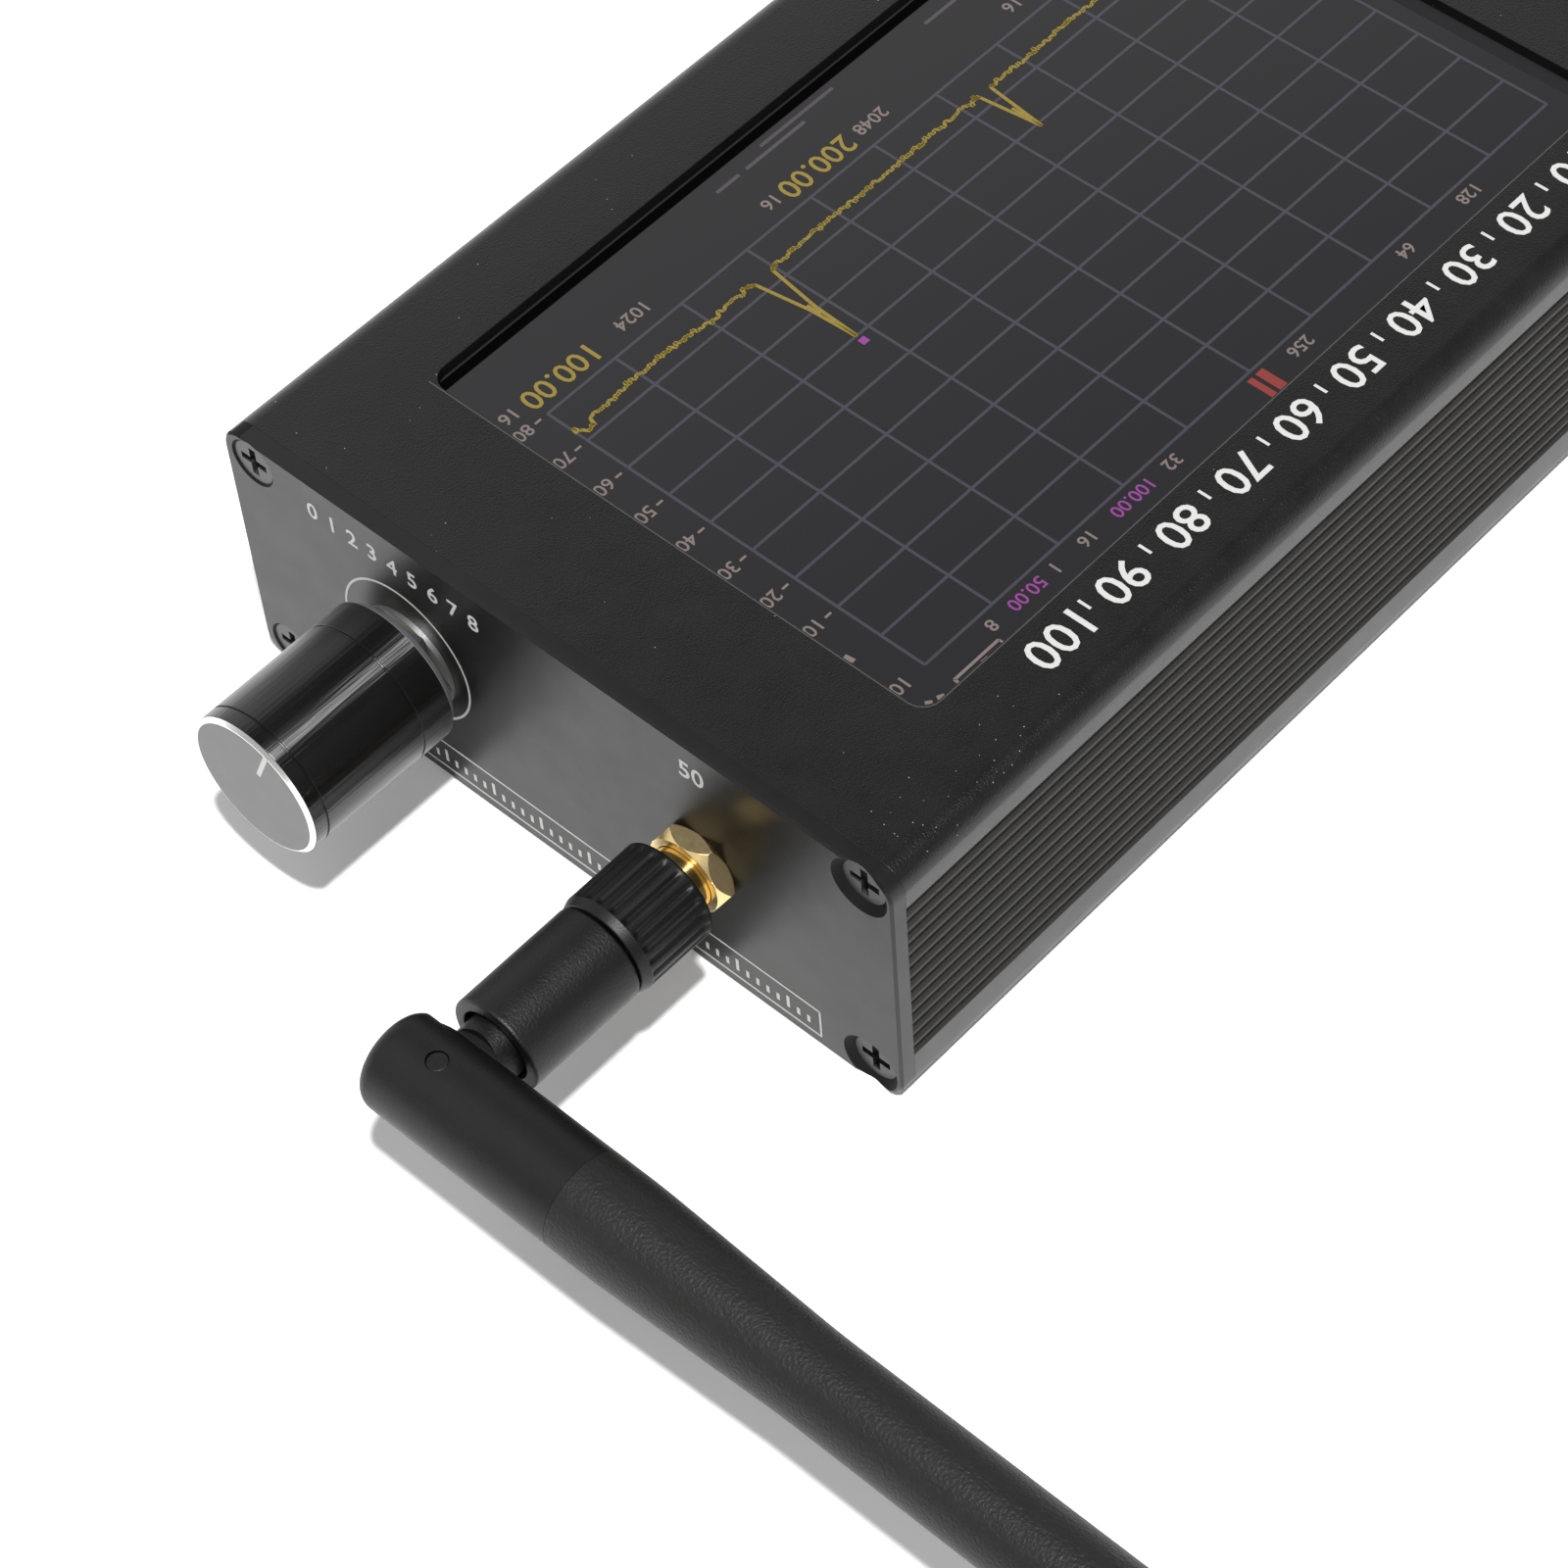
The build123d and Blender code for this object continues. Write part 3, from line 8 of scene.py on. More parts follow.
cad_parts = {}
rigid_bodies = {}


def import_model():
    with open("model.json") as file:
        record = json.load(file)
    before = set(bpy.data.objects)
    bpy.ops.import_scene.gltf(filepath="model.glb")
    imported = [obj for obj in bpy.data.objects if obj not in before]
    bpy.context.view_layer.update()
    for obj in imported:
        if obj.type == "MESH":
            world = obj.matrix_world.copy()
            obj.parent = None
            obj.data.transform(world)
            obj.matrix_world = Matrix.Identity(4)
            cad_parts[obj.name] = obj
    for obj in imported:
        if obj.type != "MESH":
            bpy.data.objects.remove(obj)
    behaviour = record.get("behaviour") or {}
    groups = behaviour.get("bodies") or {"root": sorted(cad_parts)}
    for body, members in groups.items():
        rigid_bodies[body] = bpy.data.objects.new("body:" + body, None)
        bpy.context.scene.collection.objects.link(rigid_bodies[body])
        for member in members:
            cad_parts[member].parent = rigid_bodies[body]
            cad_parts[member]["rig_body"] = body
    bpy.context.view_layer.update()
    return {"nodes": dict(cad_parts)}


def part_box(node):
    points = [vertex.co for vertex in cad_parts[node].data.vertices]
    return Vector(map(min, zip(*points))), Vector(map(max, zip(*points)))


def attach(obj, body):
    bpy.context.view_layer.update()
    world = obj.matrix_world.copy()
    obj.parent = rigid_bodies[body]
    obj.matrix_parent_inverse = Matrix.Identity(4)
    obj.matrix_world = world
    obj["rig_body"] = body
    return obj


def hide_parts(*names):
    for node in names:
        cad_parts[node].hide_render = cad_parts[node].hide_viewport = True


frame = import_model()

# Camera: stands at the knob's end, on the jack's side, and looks down on the near half of the case.
# Its place and turn come from the screen's chart, a grid of known size seen in perspective.
lens = bpy.data.cameras.new("camera")
lens.sensor_width = 36.0
lens.lens = 104.349
lens.clip_start = 0.01
lens.clip_end = 10.0
camera = bpy.data.objects.new("camera", lens)
bpy.context.scene.collection.objects.link(camera)
view_right = Vector((0.73690, 0.67388, -0.05353))
view_back = Vector((0.44284, -0.42138, 0.79141))
view_up = view_back.cross(view_right)
camera.matrix_world = Matrix((view_right, view_up, view_back)).transposed().to_4x4()
camera.location = (0.191454, -0.220186, 0.327139)
bpy.context.scene.camera = camera
bpy.context.scene.view_settings.view_transform = "Standard"


# Table: a white sheet of paper that runs far past the view on every side, a hair under the case. It glows
# a little by itself, so that it comes out pure white where the lamp reaches it.
def paper_sheet(half):
    """Flat square in metres: corners at plus and minus half on both axes, at height 0."""
    mesh = bpy.data.meshes.new("table")
    corners = np.array(((-1, -1, 0), (1, -1, 0), (1, 1, 0), (-1, 1, 0))) * half
    mesh.from_pydata(corners.tolist(), [], [(0, 1, 2, 3)])
    return bpy.data.objects.new("table", mesh)


table_gap = 0.00002
table = paper_sheet(3.0)
table.location.z = -table_gap
bpy.context.scene.collection.objects.link(table)
paper = bpy.data.materials.new("white paper")
paper.use_nodes = True
paper_values = {"Base Color": (0.95, 0.95, 0.95, 1), "Roughness": 0.9, "Specular IOR Level": 0.1,
                "Emission Color": (1, 1, 1, 1), "Emission Strength": 0.10}
for socket, value in paper_values.items():
    paper.node_tree.nodes["Principled BSDF"].inputs[socket].default_value = value
table.data.materials.append(paper)


# Light: one small hard lamp almost overhead, in a white tent. The walls are bright and fade towards the
# top, which has a dark round opening above the far end. The walls to the right and in front are in shade.
def add_node(tree, kind, values=None, **settings):
    """New shader node of that kind, with these settings, and these values in its input sockets."""
    made = tree.nodes.new("ShaderNode" + kind)
    for setting, value in settings.items():
        setattr(made, setting, value)
    for socket, value in (values or {}).items():
        made.inputs[socket].default_value = value
    return made


key = bpy.data.objects.new("key lamp", bpy.data.lights.new("key lamp", "SUN"))
key.data.energy = 4.0
key.data.angle = math.radians(3.5)
key.rotation_euler = Vector((0.313, -0.197, 1.0)).to_track_quat("Z", "Y").to_euler()
bpy.context.scene.collection.objects.link(key)
tent = bpy.data.worlds.new("white tent")
tent.use_nodes = True
canvas = tent.node_tree
way = add_node(canvas, "TexCoord")
# Each fade: its axis, how far along the axis it starts and ends, and the brightness before and after it.
tent_fades = [((0, 0, 1), 0.55, 0.95, 0.95, 0.45),
              ((0.10, 0.35, 0.93), 0.75, 0.86, 1.0, 0.12),
              ((0.8, 0, 0.6), 0.60, 0.85, 1.0, 0.28),
              ((0, -1, 0), 0.55, 0.85, 1.0, 0.5)]
brightness = None
for axis, start, end, before, after in tent_fades:
    reach = add_node(canvas, "VectorMath", {1: axis}, operation="DOT_PRODUCT")
    canvas.links.new(way.outputs["Generated"], reach.inputs[0])
    fade_values = {"From Min": start, "From Max": end, "To Min": before, "To Max": after}
    fade = add_node(canvas, "MapRange", fade_values, interpolation_type="SMOOTHSTEP")
    canvas.links.new(reach.outputs["Value"], fade.inputs["Value"])
    product = add_node(canvas, "Math", {0: 1.0}, operation="MULTIPLY")
    if brightness is not None:
        canvas.links.new(brightness, product.inputs[0])
    canvas.links.new(fade.outputs["Result"], product.inputs[1])
    brightness = product.outputs["Value"]
canvas.links.new(brightness, canvas.nodes["Background"].inputs["Strength"])
canvas.nodes["Background"].inputs["Color"].default_value = (1.0, 1.0, 1.0, 1)
bpy.context.scene.world = tent


# Case shell: extruded aluminium, black anodised after fine blasting, with the screen's window, fine
# grooves along both sides, board rails and screw ports. Its saw-cut and milled edges are broken.
# Sizes from here on are in mm, and this factor turns them into metres.
mm = 0.001
# The colour sockets of a Mix node go by number, because its other sockets share their names.
first_colour, second_colour, mixed_colour = 6, 7, 2
speck_colour = (0.28, 0.28, 0.2716, 1)


def finish(name, colour, rough, metal=0.0, mottle=0.12, mottle_size=3.0, grain=0.0, grain_size=0.15,
           grain_height=0.05, stretch=(1.0, 1.0, 1.0), rough_spread=0.06, ior=1.5, glow=0.0):
    """Finish from noises on the piece's own coordinates, sizes in mm: a coarse one shifts the colour and the
    gloss a little, and a fine one of that grain size raises the surface."""
    shade = bpy.data.materials.new(name)
    shade.use_nodes = True
    tree, links = shade.node_tree, shade.node_tree.links
    coat = tree.nodes["Principled BSDF"]
    coat.inputs["Metallic"].default_value = metal
    coat.inputs["IOR"].default_value = ior
    place = add_node(tree, "TexCoord")
    turn = add_node(tree, "Mapping", {"Scale": stretch})
    links.new(place.outputs["Object"], turn.inputs["Vector"])
    coarse = add_node(tree, "TexNoise", {"Scale": 1 / (mottle_size * mm), "Detail": 3.0})
    links.new(turn.outputs["Vector"], coarse.inputs["Vector"])
    darker = tuple(c * (1 - mottle) for c in colour) + (1,)
    paler = tuple(min(1, c * (1 + mottle)) for c in colour) + (1,)
    tint = add_node(tree, "Mix", {first_colour: darker, second_colour: paler}, data_type="RGBA")
    links.new(coarse.outputs["Fac"], tint.inputs["Factor"])
    links.new(tint.outputs[mixed_colour], coat.inputs["Base Color"])
    least_rough, most_rough = max(0.02, rough - rough_spread), rough + rough_spread
    gloss = add_node(tree, "MapRange", {"To Min": least_rough, "To Max": most_rough})
    links.new(coarse.outputs["Fac"], gloss.inputs["Value"])
    links.new(gloss.outputs["Result"], coat.inputs["Roughness"])
    if grain:
        fine = add_node(tree, "TexNoise", {"Scale": 1 / (grain_size * mm), "Detail": 2.0})
        links.new(turn.outputs["Vector"], fine.inputs["Vector"])
        relief = add_node(tree, "Bump", {"Strength": grain, "Distance": grain_height * mm})
        links.new(fine.outputs["Fac"], relief.inputs["Height"])
        links.new(relief.outputs["Normal"], coat.inputs["Normal"])
    if glow:
        coat.inputs["Emission Color"].default_value = tuple(colour) + (1,)
        coat.inputs["Emission Strength"].default_value = glow
    return shade


def add_pale_specks(shade, spacing, size, share, cluster, cluster_share, core, edge, squeeze):
    """Pale specks over a finish: cells lie about the spacing in mm apart, chance picks a share of them, and
    a picked cell is pale out to size from its middle, as a part of the spacing. Up to the core in mm from
    the cluster's place the cluster's share counts, past the edge the other one, in a squeezed space."""
    tree, links = shade.node_tree, shade.node_tree.links
    base = tree.nodes["Principled BSDF"].inputs["Base Color"]
    clean = base.links[0].from_socket
    place = add_node(tree, "TexCoord")
    cells = add_node(tree, "TexVoronoi", {"Scale": 1 / (spacing * mm)})
    links.new(place.outputs["Object"], cells.inputs["Vector"])
    near = add_node(tree, "Math", {1: size}, operation="LESS_THAN")
    links.new(cells.outputs["Distance"], near.inputs[0])
    chance = add_node(tree, "SeparateColor")
    links.new(cells.outputs["Color"], chance.inputs["Color"])
    squeezed = add_node(tree, "VectorMath", {1: squeeze}, operation="MULTIPLY")
    links.new(place.outputs["Object"], squeezed.inputs[0])
    middle = tuple(c * s * mm for c, s in zip(cluster, squeeze))
    away = add_node(tree, "VectorMath", {1: middle}, operation="DISTANCE")
    links.new(squeezed.outputs["Vector"], away.inputs[0])
    bar = add_node(tree, "MapRange", {"From Min": core * mm, "From Max": edge * mm,
                                      "To Min": 1 - cluster_share, "To Max": 1 - share})
    links.new(away.outputs["Value"], bar.inputs["Value"])
    picked = add_node(tree, "Math", operation="GREATER_THAN")
    links.new(chance.outputs["Red"], picked.inputs[0])
    links.new(bar.outputs["Result"], picked.inputs[1])
    pale = add_node(tree, "Math", operation="MULTIPLY")
    links.new(near.outputs["Value"], pale.inputs[0])
    links.new(picked.outputs["Value"], pale.inputs[1])
    specked = add_node(tree, "Mix", {second_colour: speck_colour}, data_type="RGBA")
    links.new(pale.outputs["Value"], specked.inputs["Factor"])
    links.new(clean, specked.inputs[first_colour])
    links.new(specked.outputs[mixed_colour], base)


def box_mm(node):
    """Lowest and highest corner of a CAD node at rest, in mm, to a thousandth."""
    return np.round(np.array([tuple(corner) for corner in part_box(node)]) / mm, 3)


def dress(piece, *nodes):
    """The piece rides with these nodes' body and stands for them; the nodes are hidden."""
    if piece.name not in bpy.context.scene.collection.objects:
        bpy.context.scene.collection.objects.link(piece)
    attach(piece, frame["nodes"][nodes[0]]["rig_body"])
    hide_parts(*nodes)
    return piece


def smooth(mesh, crease):
    """Smooth shading, with edges sharper than the crease in degrees kept sharp."""
    mesh.polygons.foreach_set("use_smooth", np.ones(len(mesh.polygons), bool))
    mesh.set_sharp_from_angle(angle=math.radians(crease))


def eased(node, name, width, *shades, crease=28.0, same_place=2e-7, flat=0.4):
    """Node with broken edges: a copy of its mesh is merged, flat neighbours become one face, and every edge
    sharper than the crease gets a small bevel of that width in mm."""
    mesh = frame["nodes"][node].data.copy()
    mesh.name = name
    work = bmesh.new()
    work.from_mesh(mesh)
    bmesh.ops.remove_doubles(work, verts=work.verts, dist=same_place)
    bmesh.ops.dissolve_limit(work, angle_limit=math.radians(flat), verts=work.verts, edges=work.edges)
    work.to_mesh(mesh)
    work.free()
    for attribute in ("custom_normal", "sharp_face"):
        if attribute in mesh.attributes:
            mesh.attributes.remove(mesh.attributes[attribute])
    smooth(mesh, crease)
    mesh.materials.clear()
    for shade in shades:
        mesh.materials.append(shade)
    mesh.polygons.foreach_set("material_index", np.zeros(len(mesh.polygons), np.int32))
    piece = dress(bpy.data.objects.new(name, mesh), node)
    if width:
        bevel = piece.modifiers.new("broken edges", "BEVEL")
        bevel.width = width * mm
        bevel.segments = 2
        bevel.limit_method = "ANGLE"
        bevel.angle_limit = math.radians(crease)
        bevel.harden_normals = True
    return piece


def paint(shade, *nodes):
    """The nodes keep their shape and get this finish."""
    for node in nodes:
        mesh = frame["nodes"][node].data
        mesh.materials.clear()
        mesh.materials.append(shade)


def part_shade(piece, shade, chosen):
    """Another finish on the polygons for which the test of their centres in mm and normals is true."""
    count = len(piece.data.polygons)
    centres, normals, slots = np.empty(count * 3), np.empty(count * 3), np.empty(count, np.int32)
    piece.data.polygons.foreach_get("center", centres)
    piece.data.polygons.foreach_get("normal", normals)
    piece.data.polygons.foreach_get("material_index", slots)
    piece.data.materials.append(shade)
    slots[chosen(centres.reshape(-1, 3) / mm, normals.reshape(-1, 3))] = len(piece.data.materials) - 1
    piece.data.polygons.foreach_set("material_index", slots)


half_width, _, roof_z = box_mm("case_shell")[1]
middle_z = roof_z / 2
groove_floor_x = half_width - 0.5
groove_band = 11.0
black_anodising = finish("black anodising", (0.0024, 0.0024, 0.0025), 0.36, mottle=0.2, grain=0.8,
                         grain_size=0.18, ior=1.48)
# Pale specks on the roof, scattered thinly and gathered near the corner on the knob's end and the jack's
# side.
add_pale_specks(black_anodising, spacing=0.42, size=0.13, share=0.009, cluster=(37.0, -61.0, roof_z),
         cluster_share=0.28, core=0.5, edge=7.0, squeeze=(1.0, 0.3, 1.0))
extrusion = eased("case_shell", "extruded_case", 0.15, black_anodising)
# Painted light: the grooves, their flanks and crests get a matt black about ten times paler than the
# anodising, for the floor's light that the ridges keep out of the grooves.
groove_painted_light = finish("painted light in the grooves", (0.026, 0.025, 0.024), 0.6, mottle=0.2, grain=0.4,
                      ior=1.4)
part_shade(extrusion, groove_painted_light,
           lambda c, n: (np.abs(c[:, 0]) > groove_floor_x) & (np.abs(c[:, 2] - middle_z) < groove_band))
# Painted reflection: the flat strips above and below the grooves get a paler, more reflective copy of the
# anodising, so that they mirror the floor more brightly.
strip_painted_reflection = finish("painted reflection on the side strips", (0.0040, 0.0040, 0.0042), 0.36, mottle=0.2, grain=0.45,
                     grain_size=0.14, ior=1.62)
part_shade(extrusion, strip_painted_reflection,
           lambda c, n: (np.abs(n[:, 0]) > 0.99) & (np.abs(c[:, 2] - middle_z) > groove_band))

# End plates: flat milled aluminium, four oversize countersinks each, blasted and anodised. The front
# one is the greyer of the two. They are screwed on with a hairline gap to the extrusion.
screw_x, screw_rise = half_width - 3.6, middle_z - 2.75
countersink_reach = 3.4
grey_anodising = finish("dark grey anodising", (0.0030, 0.0030, 0.0031), 0.37, mottle=0.1, grain=0.25,
                        grain_size=0.12, ior=1.46)
plate = eased("front_end_plate", "front_plate", 0.07, grey_anodising)


def in_countersinks(c, n):
    """True near a screw's axis, except on the plate's two flat faces."""
    from_screw = np.hypot(np.abs(c[:, 0]) - screw_x, np.abs(c[:, 2] - middle_z) - screw_rise)
    return (np.abs(n[:, 1]) < 0.95) & (from_screw < countersink_reach)


# Painted shade: the countersinks' walls get a darker, matt black than the plate's face.
part_shade(plate, finish("painted shade in the countersinks", (0.0012, 0.0012, 0.0012), 0.7, mottle=0.2, grain=0.3,
                         ior=1.33), in_countersinks)
eased("rear_end_plate", "rear_plate", 0.07, black_anodising)

# Screws of the plates: countersunk steel with a cross recess, plated with black zinc. They sit deep in
# the countersinks, which are wider than their heads.
black_zinc = finish("black zinc", (0.030, 0.030, 0.0305), 0.34, mottle=0.25, mottle_size=0.8, grain=0.2,
                    grain_size=0.2)
eased("front_plate_screws", "front_screws", 0.06, black_zinc)
eased("rear_plate_screws", "rear_screws", 0.06, black_zinc)

# Screen: a panel in its steel tray under the window, with a dark foam seal between them. The glass is
# charcoal and glossy, and the chart glows faintly in it.
paint(finish("closed-cell foam", (0.008, 0.008, 0.008), 0.9, mottle=0.3, mottle_size=0.6, grain=0.6),
      "window_gasket", "lcd_tape", "battery_tape")
tinned_steel = finish("tinned steel", (0.55, 0.55, 0.56), 0.3, metal=1.0, mottle=0.08, grain=0.1,
                      grain_size=0.4)
paint(tinned_steel, "lcd_tray")
milky_acrylic = finish("milky acrylic", (0.72, 0.72, 0.70), 0.35, mottle=0.04)
paint(milky_acrylic, "lcd_light_guide")
screen_glass = finish("screen glass", (0.0030, 0.0029, 0.0031), 0.05, mottle=0.04, mottle_size=25.0,
                      rough_spread=0.01, ior=1.33, glow=8.6)
paint(screen_glass, "lcd_glass")
glass_z = box_mm("lcd_glass")[1][2]
screen_plane = ((0, 0, glass_z), (0, -1, 0), (1, 0, 0))


def surface(name, points, cells, shades, paints=None, crease=35.0, merge=True):
    """Closed surface: points in mm and four point numbers a cell. Points that share a place are merged, the
    corners that this repeats are dropped, and the cells are turned outwards by the sign of the volume."""
    a, b, c, d = points[cells].transpose(1, 0, 2)
    volume = np.einsum("ij,ij->", a, np.cross(b, c)) + np.einsum("ij,ij->", a, np.cross(c, d))
    if volume < 0:
        cells = cells[:, ::-1]
    corners = cells
    if merge:
        _, first, number = np.unique(np.round(points, 5), axis=0, return_index=True, return_inverse=True)
        points, corners = points[first], number.reshape(-1)[cells]
    kept = corners != np.roll(corners, -1, axis=1)
    whole = kept.sum(1) >= 3
    kept, corners = kept[whole], corners[whole]
    totals = kept.sum(1)
    mesh = bpy.data.meshes.new(name)
    mesh.vertices.add(len(points))
    mesh.vertices.foreach_set("co", (points * mm).ravel())
    mesh.loops.add(int(totals.sum()))
    mesh.loops.foreach_set("vertex_index", corners[kept].astype(np.int32))
    mesh.polygons.add(len(totals))
    mesh.polygons.foreach_set("loop_start", (np.cumsum(totals) - totals).astype(np.int32))
    if paints is not None:
        mesh.polygons.foreach_set("material_index", paints[whole].astype(np.int32))
    mesh.update(calc_edges=True)
    mesh.validate()
    smooth(mesh, crease)
    for shade in shades:
        mesh.materials.append(shade)
    piece = bpy.data.objects.new(name, mesh)
    bpy.context.scene.collection.objects.link(piece)
    return piece


def spots(along, up):
    """Places on a plane: along and up are each one number for all, or one number a place."""
    return np.stack(np.broadcast_arrays(along, up), axis=1)


def strips(name, starts, ends, width, plane, shade, body="case", proud=0.015, lap=0.01):
    """Thin raised lines on a plane (origin, reading way, upward way, all in mm): each is a box from its
    start to its end and a hair beyond, the lap, width wide and standing proud by that height."""
    starts, ends = np.atleast_2d(starts).astype(float), np.atleast_2d(ends).astype(float)
    heading = (ends - starts) / np.linalg.norm(ends - starts, axis=1)[:, None]
    starts, ends = starts - lap * heading, ends + lap * heading
    across = np.stack((-heading[:, 1], heading[:, 0]), axis=1)
    side = across * (np.broadcast_to(width, len(starts)) / 2)[:, None]
    outline = np.stack((starts - side, ends - side, ends + side, starts + side), axis=1)
    outline = np.concatenate((outline, outline), axis=1)
    heights = np.zeros((len(starts), 8, 1))
    heights[:, 4:, 0] = proud
    origin, reading, upward = (np.array(v, float) for v in plane)
    axes = np.stack((reading, upward, np.cross(reading, upward)))
    points = origin + np.concatenate((outline, heights), axis=2).reshape(-1, 3) @ axes
    box = np.array(((0, 3, 2, 1), (4, 5, 6, 7), (0, 1, 5, 4), (1, 2, 6, 5), (2, 3, 7, 6), (3, 0, 4, 7)))
    cells = (np.arange(len(starts))[:, None, None] * 8 + box).reshape(-1, 4)
    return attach(surface(name, points, cells, [shade], merge=False), body)


def figures(name, entries, plane, shade, weight=0.0, proud=0.015, capital=0.69, same_place=1e-7):
    """Plain figures and signs on a plane of the case: each entry is (text, place along the reading way,
    place of the foot line, height), in mm. Blender's letters, whose capitals are 0.69 of their size high,
    become a mesh before they are laid down."""
    origin, reading, upward = (Vector(v) for v in plane)
    normal = reading.cross(upward)
    joined = bmesh.new()
    for text, along, foot, height in entries:
        curve = bpy.data.curves.new(name, "FONT")
        curve.body = text
        curve.size = height / capital
        curve.offset = weight
        curve.align_x = "CENTER"
        curve.extrude = proud / 2
        curve.resolution_u = 3
        word = bpy.data.objects.new(name, curve)
        bpy.context.scene.collection.objects.link(word)
        bpy.context.view_layer.update()
        mesh = bpy.data.meshes.new_from_object(word.evaluated_get(bpy.context.evaluated_depsgraph_get()))
        middle = origin + reading * along + upward * foot + normal * (proud / 2)
        turn = Matrix((reading, upward, normal)).transposed().to_4x4()
        mesh.transform(Matrix.Scale(mm, 4) @ Matrix.Translation(middle) @ turn)
        joined.from_mesh(mesh)
        bpy.data.objects.remove(word)
        bpy.data.meshes.remove(mesh)
        bpy.data.curves.remove(curve)
    bmesh.ops.remove_doubles(joined, verts=joined.verts, dist=same_place)
    bmesh.ops.dissolve_degenerate(joined, edges=joined.edges, dist=same_place)
    mesh = bpy.data.meshes.new(name)
    joined.to_mesh(mesh)
    joined.free()
    mesh.materials.clear()
    mesh.materials.append(shade)
    piece = bpy.data.objects.new(name, mesh)
    bpy.context.scene.collection.objects.link(piece)
    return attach(piece, "case")


# Painted shade: a black band along the screen's long edge away from the jack's side stands for the shade of
# the window's wall and its reflection in the glass.
wall_shade_black = finish("painted shade of the window wall", (0.0012, 0.0012, 0.0012), 0.08, mottle=0.05, rough_spread=0.01,
                      ior=1.33)
strips("painted_wall_shade", (49.3, -28.62), (-45.6, -28.62), 1.1, screen_plane, wall_shade_black, proud=0.006)

# Chart on the screen: a grid of faint lines, a yellow trace with two peaks, and rows of plain figures on
# both sides of it. On this plane a place is (towards the knob's end, towards the jack's side).
chart_foot, chart_head = -19.13, 25.42
chart_left, chart_right = -42.23, 44.67
level_count, span_count = 9, 10
level_step = (chart_head - chart_foot) / level_count
span_step = (chart_right - chart_left) / span_count
levels = chart_foot + level_step * np.arange(level_count + 1)
spans = chart_left + span_step * np.arange(span_count + 1)
chart_grey = finish("chart lines", (0.026, 0.024, 0.033), 0.3, mottle=0.05, glow=0.8)
chart_line = 0.31
strips("chart_levels", spots(chart_left, levels), spots(chart_right, levels), chart_line, screen_plane,
       chart_grey, proud=0.010)
strips("chart_spans", spots(spans, chart_foot), spots(spans, chart_head), chart_line, screen_plane,
       chart_grey, proud=0.012)
first_peak, second_peak = 2.82, 6.36


def swell(j, height, middle, reach):
    """Bell curve of that height about the middle, all in chart steps."""
    return height * np.exp(-((j - middle) / reach) ** 2)


def swept_trace(j):
    """Level of the trace, in chart steps, at j steps from the near end: a noisy floor with two swells and a
    dip, one tall narrow peak with a wide foot, and a lower second peak."""
    chance = np.random.default_rng(3)
    floor = 0.66 + 0.035 * chance.standard_normal(len(j)) + swell(j, 0.10, 2.05, 0.12)
    floor += swell(j, 0.24, 0.13, 0.07) - swell(j, 0.05, 1.1, 0.5)
    from_peak = np.abs(j - first_peak)
    tall = 3.12 - np.minimum(34.0 * from_peak, 1.19 + 12.0 * (from_peak - 0.035))
    foot = 1.10 - 1.1 * np.abs(j - 2.80) ** 0.5
    second = 2.12 - 15.0 * np.abs(j - second_peak)
    return np.maximum.reduce((floor, tall, foot, second))


trace_j = np.unique(np.concatenate((np.linspace(0, span_count, 440), np.linspace(2.6, 3.04, 60),
                                    np.linspace(6.2, 6.5, 40))))
trace_points = spots(chart_right - trace_j * span_step, chart_foot + swept_trace(trace_j) * level_step)
trace_yellow = finish("chart yellow", (0.125, 0.092, 0.014), 0.4, mottle=0.1, mottle_size=0.5, glow=1.05)
strips("chart_trace", trace_points[:-1], trace_points[1:], 0.36, screen_plane, trace_yellow, proud=0.014)
fill_starts = [(20.30, -10.2), (20.06, -8.6), (-10.6, -12.4)]
fill_ends = [(20.19, -4.3), (20.15, -4.3), (-10.6, -9.4)]
strips("chart_peak_fill", fill_starts, fill_ends, [0.44, 0.44, 0.3], screen_plane, trace_yellow, proud=0.013)
marker_violet = finish("chart violet", (0.13, 0.024, 0.135), 0.4, mottle=0.05, glow=0.8)
strips("chart_marker", (20.17, -3.8), (20.17, -3.0), 0.8, screen_plane, marker_violet, proud=0.018)
upper_row, lower_row, large_row = 26.3, -22.2, -22.5
marker_names = [("100.00", 19.1, upper_row, 1.35), ("50.00", 33.2, upper_row, 1.35)]
figures("marker_figures", marker_names, screen_plane, marker_violet, weight=0.012)
figure_pink = finish("chart figures", (0.098, 0.080, 0.073), 0.4, mottle=0.05, glow=0.85)
named_levels, level_column = levels[:8], 47.7
level_names = [("%d" % (80 - 10 * k), level_column, up - 0.68, 1.38) for k, up in enumerate(named_levels)]
level_names.append(("10", level_column, 24.7, 1.38))
figures("level_figures", level_names, screen_plane, figure_pink, weight=0.018)
dash_starts, dash_ends = spots(45.5, named_levels), spots(46.25, named_levels)
strips("level_dashes", dash_starts, dash_ends, 0.24, screen_plane, figure_pink, proud=0.012)
span_names = [("%d.00" % (100 * k), 74.6 - 34.0 * k, large_row, 2.35) for k in (1, 2, 3)]
figures("span_figures", span_names, screen_plane, trace_yellow, weight=0.03)
lower_names = [("1024", 31.2), ("16", 47.1), ("2048", -1.0), ("16", 12.7), ("512", -34.6), ("16", -21.2)]
upper_names = [("32", 13.8), ("16", 25.2), ("1", 29.5), ("8", 37.8), ("256", -4.0), ("64", -19.2),
               ("128", -28.5)]
status_names = [(text, along, lower_row, 1.4) for text, along in lower_names]
status_names += [(text, along, upper_row, 1.3) for text, along in upper_names]
figures("status_figures", status_names, screen_plane, figure_pink, weight=0.022)
